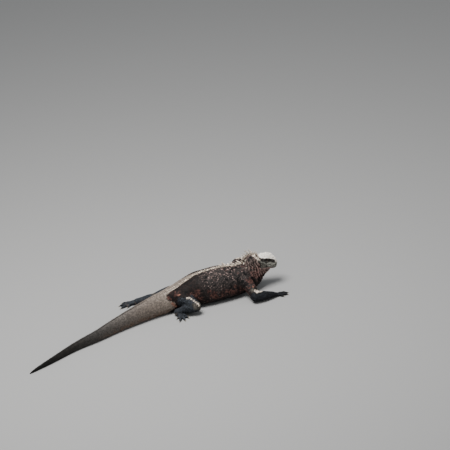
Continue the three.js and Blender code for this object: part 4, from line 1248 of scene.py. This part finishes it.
def coloursGroup():
    # the animal's markings, shared by the skin and every kind of scale
    group = bpy.data.node_groups.new("iguanaMarkings", "ShaderNodeTree")
    for name, way, kind in (("Tone", "INPUT", "Float"), ("Rise", "INPUT", "Float"), ("Color", "OUTPUT", "Color"),
                            ("Roughness", "OUTPUT", "Float"), ("Height", "OUTPUT", "Float")):
        group.interface.new_socket(name, in_out=way, socket_type=f"NodeSocket{kind}")
    w = Wiring(group)
    given = group.nodes.new("NodeGroupInput").outputs
    place = w.add("ShaderNodeTexCoord").outputs["Object"]
    c = iguanaColours
    share = w.attribute
    tone = given["Tone"]
    fineNoise = w.noise(place, 420, 2)
    mottleNoise = w.noise(place, 150, 3, 0.7)
    mottle = w.ramp(mottleNoise, 0.4, 0.6)
    patch = w.noise(place, 75, 3)

    def over(colour, amount, area, upper):
        return w.mix(w.maths("MULTIPLY", area, amount), colour, upper)

    trunk = w.mix(share("heightShare"), c["charcoal"], c["upper"])
    trunk = over(trunk, 0.9, share("rearShade"), c["rear"])
    trunk = over(trunk, w.ramp(patch, 0.36, 0.56), share("redArea"), c["brick"])
    neck = over(c["neck"], w.ramp(patch, 0.36, 0.54), share("neckPink"), c["neckRed"])
    # painted highlight on the crests of the neck folds
    neck = over(neck, 0.45, share("foldHighlight"), c["foldHighlight"])
    trunk = over(trunk, 0.85, share("neckArea"), neck)
    fleck = w.maths("MULTIPLY", w.ramp(w.noise(place, 260, 2), 0.56, 0.66), w.ramp(tone, 0.3, 0.8))
    fleckShare = w.maths("SUBTRACT", 0.6, w.maths("MULTIPLY", share("rearShade"), 0.45))
    trunk = over(trunk, fleck, fleckShare, c["fleck"])
    # black marks, with painted shade on the shoulder
    trunk = over(trunk, 0.9, share("blackAndShadeArea"), c["blackAndShade"])
    # painted glints on the upper flank
    trunk = over(trunk, 0.75, share("glintArea"), c["glint"])
    # painted shadow along the underside
    trunk = over(trunk, 0.8, share("lowShadeAndRust"), c["blackAndShade"])
    ends = w.add("ShaderNodeValToRGB", Fac=share("tailRun"))
    steps = ends.color_ramp.elements
    while len(steps) < len(c["tail"]):
        steps.new(0.5)
    for step, (stop, shade) in zip(steps, c["tail"]):
        step.position, step.color = stop, shade
    early = w.maths("SUBTRACT", 1.0, w.ramp(share("tailRun"), 0.3, 0.55))
    lowTail = w.maths("MULTIPLY", share("lowShadeAndRust"), early)
    tail = over(ends.outputs[0], w.ramp(patch, 0.38, 0.55), lowTail, c["tailRust"])
    colour = w.mix(share("tailArea"), trunk, tail)
    colour = over(colour, 0.85, share("rustArea"), c["rust"])
    stripColour = w.mix(w.ramp(mottleNoise, 0.34, 0.5), c["gap"], c["strip"])
    colour = over(colour, 0.95, share("backStrip"), stripColour)
    leg = over(c["leg"], w.ramp(fineNoise, 0.56, 0.7), w.ramp(patch, 0.4, 0.6), c["legPale"])
    leg = over(leg, 0.85, share("frontArea"), c["foreleg"])
    colour = w.mix(share("legArea"), colour, leg)
    colour = over(colour, 0.9, share("dryArea"), c["dry"])
    colour = w.mix(share("headArea"), colour, c["face"])
    # the brow band is painted shade under the crown's crust
    for amount, area, shade in ((0.85, "throatArea", "throat"), (0.9, "lipArea", "lip"), (0.9, "underCrustShade", "brow")):
        colour = over(colour, amount, share(area), c[shade])
    colour = over(colour, w.ramp(fineNoise, 0.2, 0.42), share("creamArea"), c["cream"])
    crust = w.mix(w.ramp(w.noise(place, 210, 2), 0.52, 0.66), c["crown"], c["crownTan"])
    colour = w.mix(share("crownArea"), colour, crust)
    # painted shade in the fold valleys and nostrils, and the dark line along the tail's top
    colour = over(colour, 0.85, share("hollowShadeAndTailLine"), c["blackAndShade"])
    # pale places vary less than dark ones
    calm = w.maths("MAXIMUM", share("crownArea"), w.maths("MULTIPLY", share("tailArea"), 0.55), True)
    swing = w.maths("ADD", w.maths("MULTIPLY", mottle, 0.95), 0.42)
    value = w.maths("MULTIPLY", swing, w.maths("ADD", w.maths("MULTIPLY", tone, 0.7), 0.66))
    level = w.add("ShaderNodeMix", dict(data_type="FLOAT"), i0=w.maths("MULTIPLY", calm, 0.8), i2=value, i3=0.98)
    # painted shade at the scales' roots and on the skin between them, painted light toward their tips
    riseShading = w.maths("MULTIPLY", level.outputs[0], w.maths("ADD", w.maths("MULTIPLY", given["Rise"], 0.4), 0.7))
    grey = w.add("ShaderNodeCombineColor", Red=riseShading, Green=riseShading, Blue=riseShading).outputs[0]
    colour = w.mix(1.0, colour, grey, "MULTIPLY")
    rough = w.maths("ADD", w.maths("MULTIPLY", patch, 0.3), 0.5)
    w.add("NodeGroupOutput", Color=colour, Roughness=rough, Height=fineNoise)
    return group


def newMaterial(name):
    material = bpy.data.materials.new(name)
    material.use_nodes = True
    return material, Wiring(material.node_tree), material.node_tree.nodes["Principled BSDF"]


def hideMaterial(name, group, strength, distance):
    material, w, shader = newMaterial(name)
    marks = w.add("ShaderNodeGroup", dict(node_tree=group), Tone=w.attribute("scaleTone"),
                  Rise=w.attribute("scaleRise"))
    bumped = w.add("ShaderNodeBump", Strength=strength, Distance=distance, Height=marks.outputs["Height"])
    w.feed(shader, {"Base Color": marks.outputs["Color"], "Roughness": marks.outputs["Roughness"],
                    "Normal": bumped.outputs[0], "Specular IOR Level": 0.14})
    return material


def clawMaterial():
    material, w, shader = newMaterial("clawHorn")
    place = w.add("ShaderNodeTexCoord").outputs["Object"]
    grain = w.noise(place, 900, 3)
    run = w.attribute("clawRun")
    colour = w.mix(w.ramp(run, 0.1, 0.95), linear(58, 54, 50), linear(150, 138, 120))
    colour = w.mix(w.maths("MULTIPLY", w.ramp(grain, 0.4, 0.7), 0.4), colour, linear(36, 33, 31))
    rough = w.maths("ADD", w.maths("MULTIPLY", grain, 0.3), 0.3)
    bumped = w.add("ShaderNodeBump", Strength=0.3, Distance=0.0002, Height=grain)
    w.feed(shader, {"Base Color": colour, "Roughness": rough, "Normal": bumped.outputs[0]})
    return material


def eyeMaterial():
    material, w, shader = newMaterial("wetEye")
    place = w.add("ShaderNodeTexCoord").outputs["Object"]
    fromPupil = w.attribute("fromPupil")
    streaks = w.noise(place, 1400, 3)
    iris = w.mix(w.ramp(streaks, 0.35, 0.65), linear(38, 25, 17), linear(82, 56, 36))
    colour = w.mix(w.ramp(fromPupil, 0.105, 0.125), linear(6, 5, 5), iris)
    colour = w.mix(w.ramp(fromPupil, 0.235, 0.27), colour, linear(40, 34, 30))
    w.feed(shader, {"Base Color": colour, "Roughness": 0.12, "Specular IOR Level": 0.3, "Coat Weight": 0.45,
                    "Coat Roughness": 0.03})
    return material


group = coloursGroup()
skinMaterial = hideMaterial("ironDarkHide", group, 0.5, 0.0006)
scaleMaterial = hideMaterial("dryScale", group, 0.35, 0.0004)

fleshNodes = ["head", "neck", "torso_chest", "torso_belly", "torso_pelvis", "tail_1", "tail_2", "tail_3", "tail_4"]
for name in legShapes:
    fleshNodes += [f"{name}_{part}" for part in toesOf(name)["legParts"]]

writePoints(skin.data, toRow(skinPoints))
skin.data.materials.append(skinMaterial)
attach(skin, "root")
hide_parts(*fleshNodes)
for piece in pieces:
    piece.data.materials.append(scaleMaterial)
    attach(piece, "root")
buildClaws(clawMaterial())
eyeFinish = eyeMaterial()
buildEye("eyeBallLeft", 1, eyeFinish)
buildEye("eyeBallRight", -1, eyeFinish)
print("dressed")

# Floor, light and camera

stageShape = dict(floor=8, camera=12, azimuth=-12, elevation=28, roll=6, pixelsPerMm=0.265, frame=450,
                  anchor=(0, -118, 0), anchorPixel=(182, 319), floorColour=(0.27, 0.266, 0.26, 1),
                  skyColour=(0.9, 0.95, 1, 1), skyStrength=0.42,
                  # lamps: name, place, size, power
                  lamps=(("key", (-0.4, -0.35, 2.8), 1.3, 165), ("fill", (2.2, -1.6, 1.4), 2, 12)))


def buildStage():
    bpy.ops.object.select_all(action="DESELECT")
    bpy.ops.mesh.primitive_plane_add(size=stageShape["floor"], location=(0, 0, 0))
    floor = bpy.context.object
    floor.name = "studioFloor"
    material, w, shader = newMaterial("paleFloor")
    w.feed(shader, {"Base Color": stageShape["floorColour"], "Roughness": 0.9})
    floor.data.materials.append(material)
    world = bpy.data.worlds.new("studioLight")
    bpy.context.scene.world = world
    world.use_nodes = True
    sky = world.node_tree.nodes["Background"].inputs
    sky["Color"].default_value, sky["Strength"].default_value = stageShape["skyColour"], stageShape["skyStrength"]
    for name, place, size, power in stageShape["lamps"]:
        light = bpy.data.lights.new(name, "AREA")
        light.energy = power
        light.size = size
        lamp = bpy.data.objects.new(name, light)
        bpy.context.scene.collection.objects.link(lamp)
        lamp.location = place
        lamp.rotation_euler = (-Vector(place)).to_track_quat("-Z", "Y").to_euler()


def buildCamera():
    turn, lift, roll = (math.radians(stageShape[key]) for key in ("azimuth", "elevation", "roll"))
    right = Vector((math.cos(turn), math.sin(turn), 0))
    up = Vector((-math.sin(turn) * math.sin(lift), math.cos(turn) * math.sin(lift), math.cos(lift)))
    back = right.cross(up)
    rolledRight = right * math.cos(roll) - up * math.sin(roll)
    rolledUp = right * math.sin(roll) + up * math.cos(roll)
    middle = stageShape["frame"] / 2
    scale = stageShape["pixelsPerMm"] / mm
    offX = (stageShape["anchorPixel"][0] - middle) / scale
    offY = (middle - stageShape["anchorPixel"][1]) / scale
    target = Vector(toRow(stageShape["anchor"])) - rolledRight * offX - rolledUp * offY
    data = bpy.data.cameras.new("camera")
    camera = bpy.data.objects.new("camera", data)
    bpy.context.scene.collection.objects.link(camera)
    camera.matrix_world = Matrix((
        (rolledRight.x, rolledUp.x, back.x, 0), (rolledRight.y, rolledUp.y, back.y, 0),
        (rolledRight.z, rolledUp.z, back.z, 0), (0, 0, 0, 1)))
    camera.location = target + back * stageShape["camera"]
    data.sensor_width = 36
    data.lens = 36 * stageShape["camera"] * scale / stageShape["frame"]
    data.clip_start, data.clip_end = 0.1, 100
    bpy.context.scene.camera = camera


buildStage()
buildCamera()
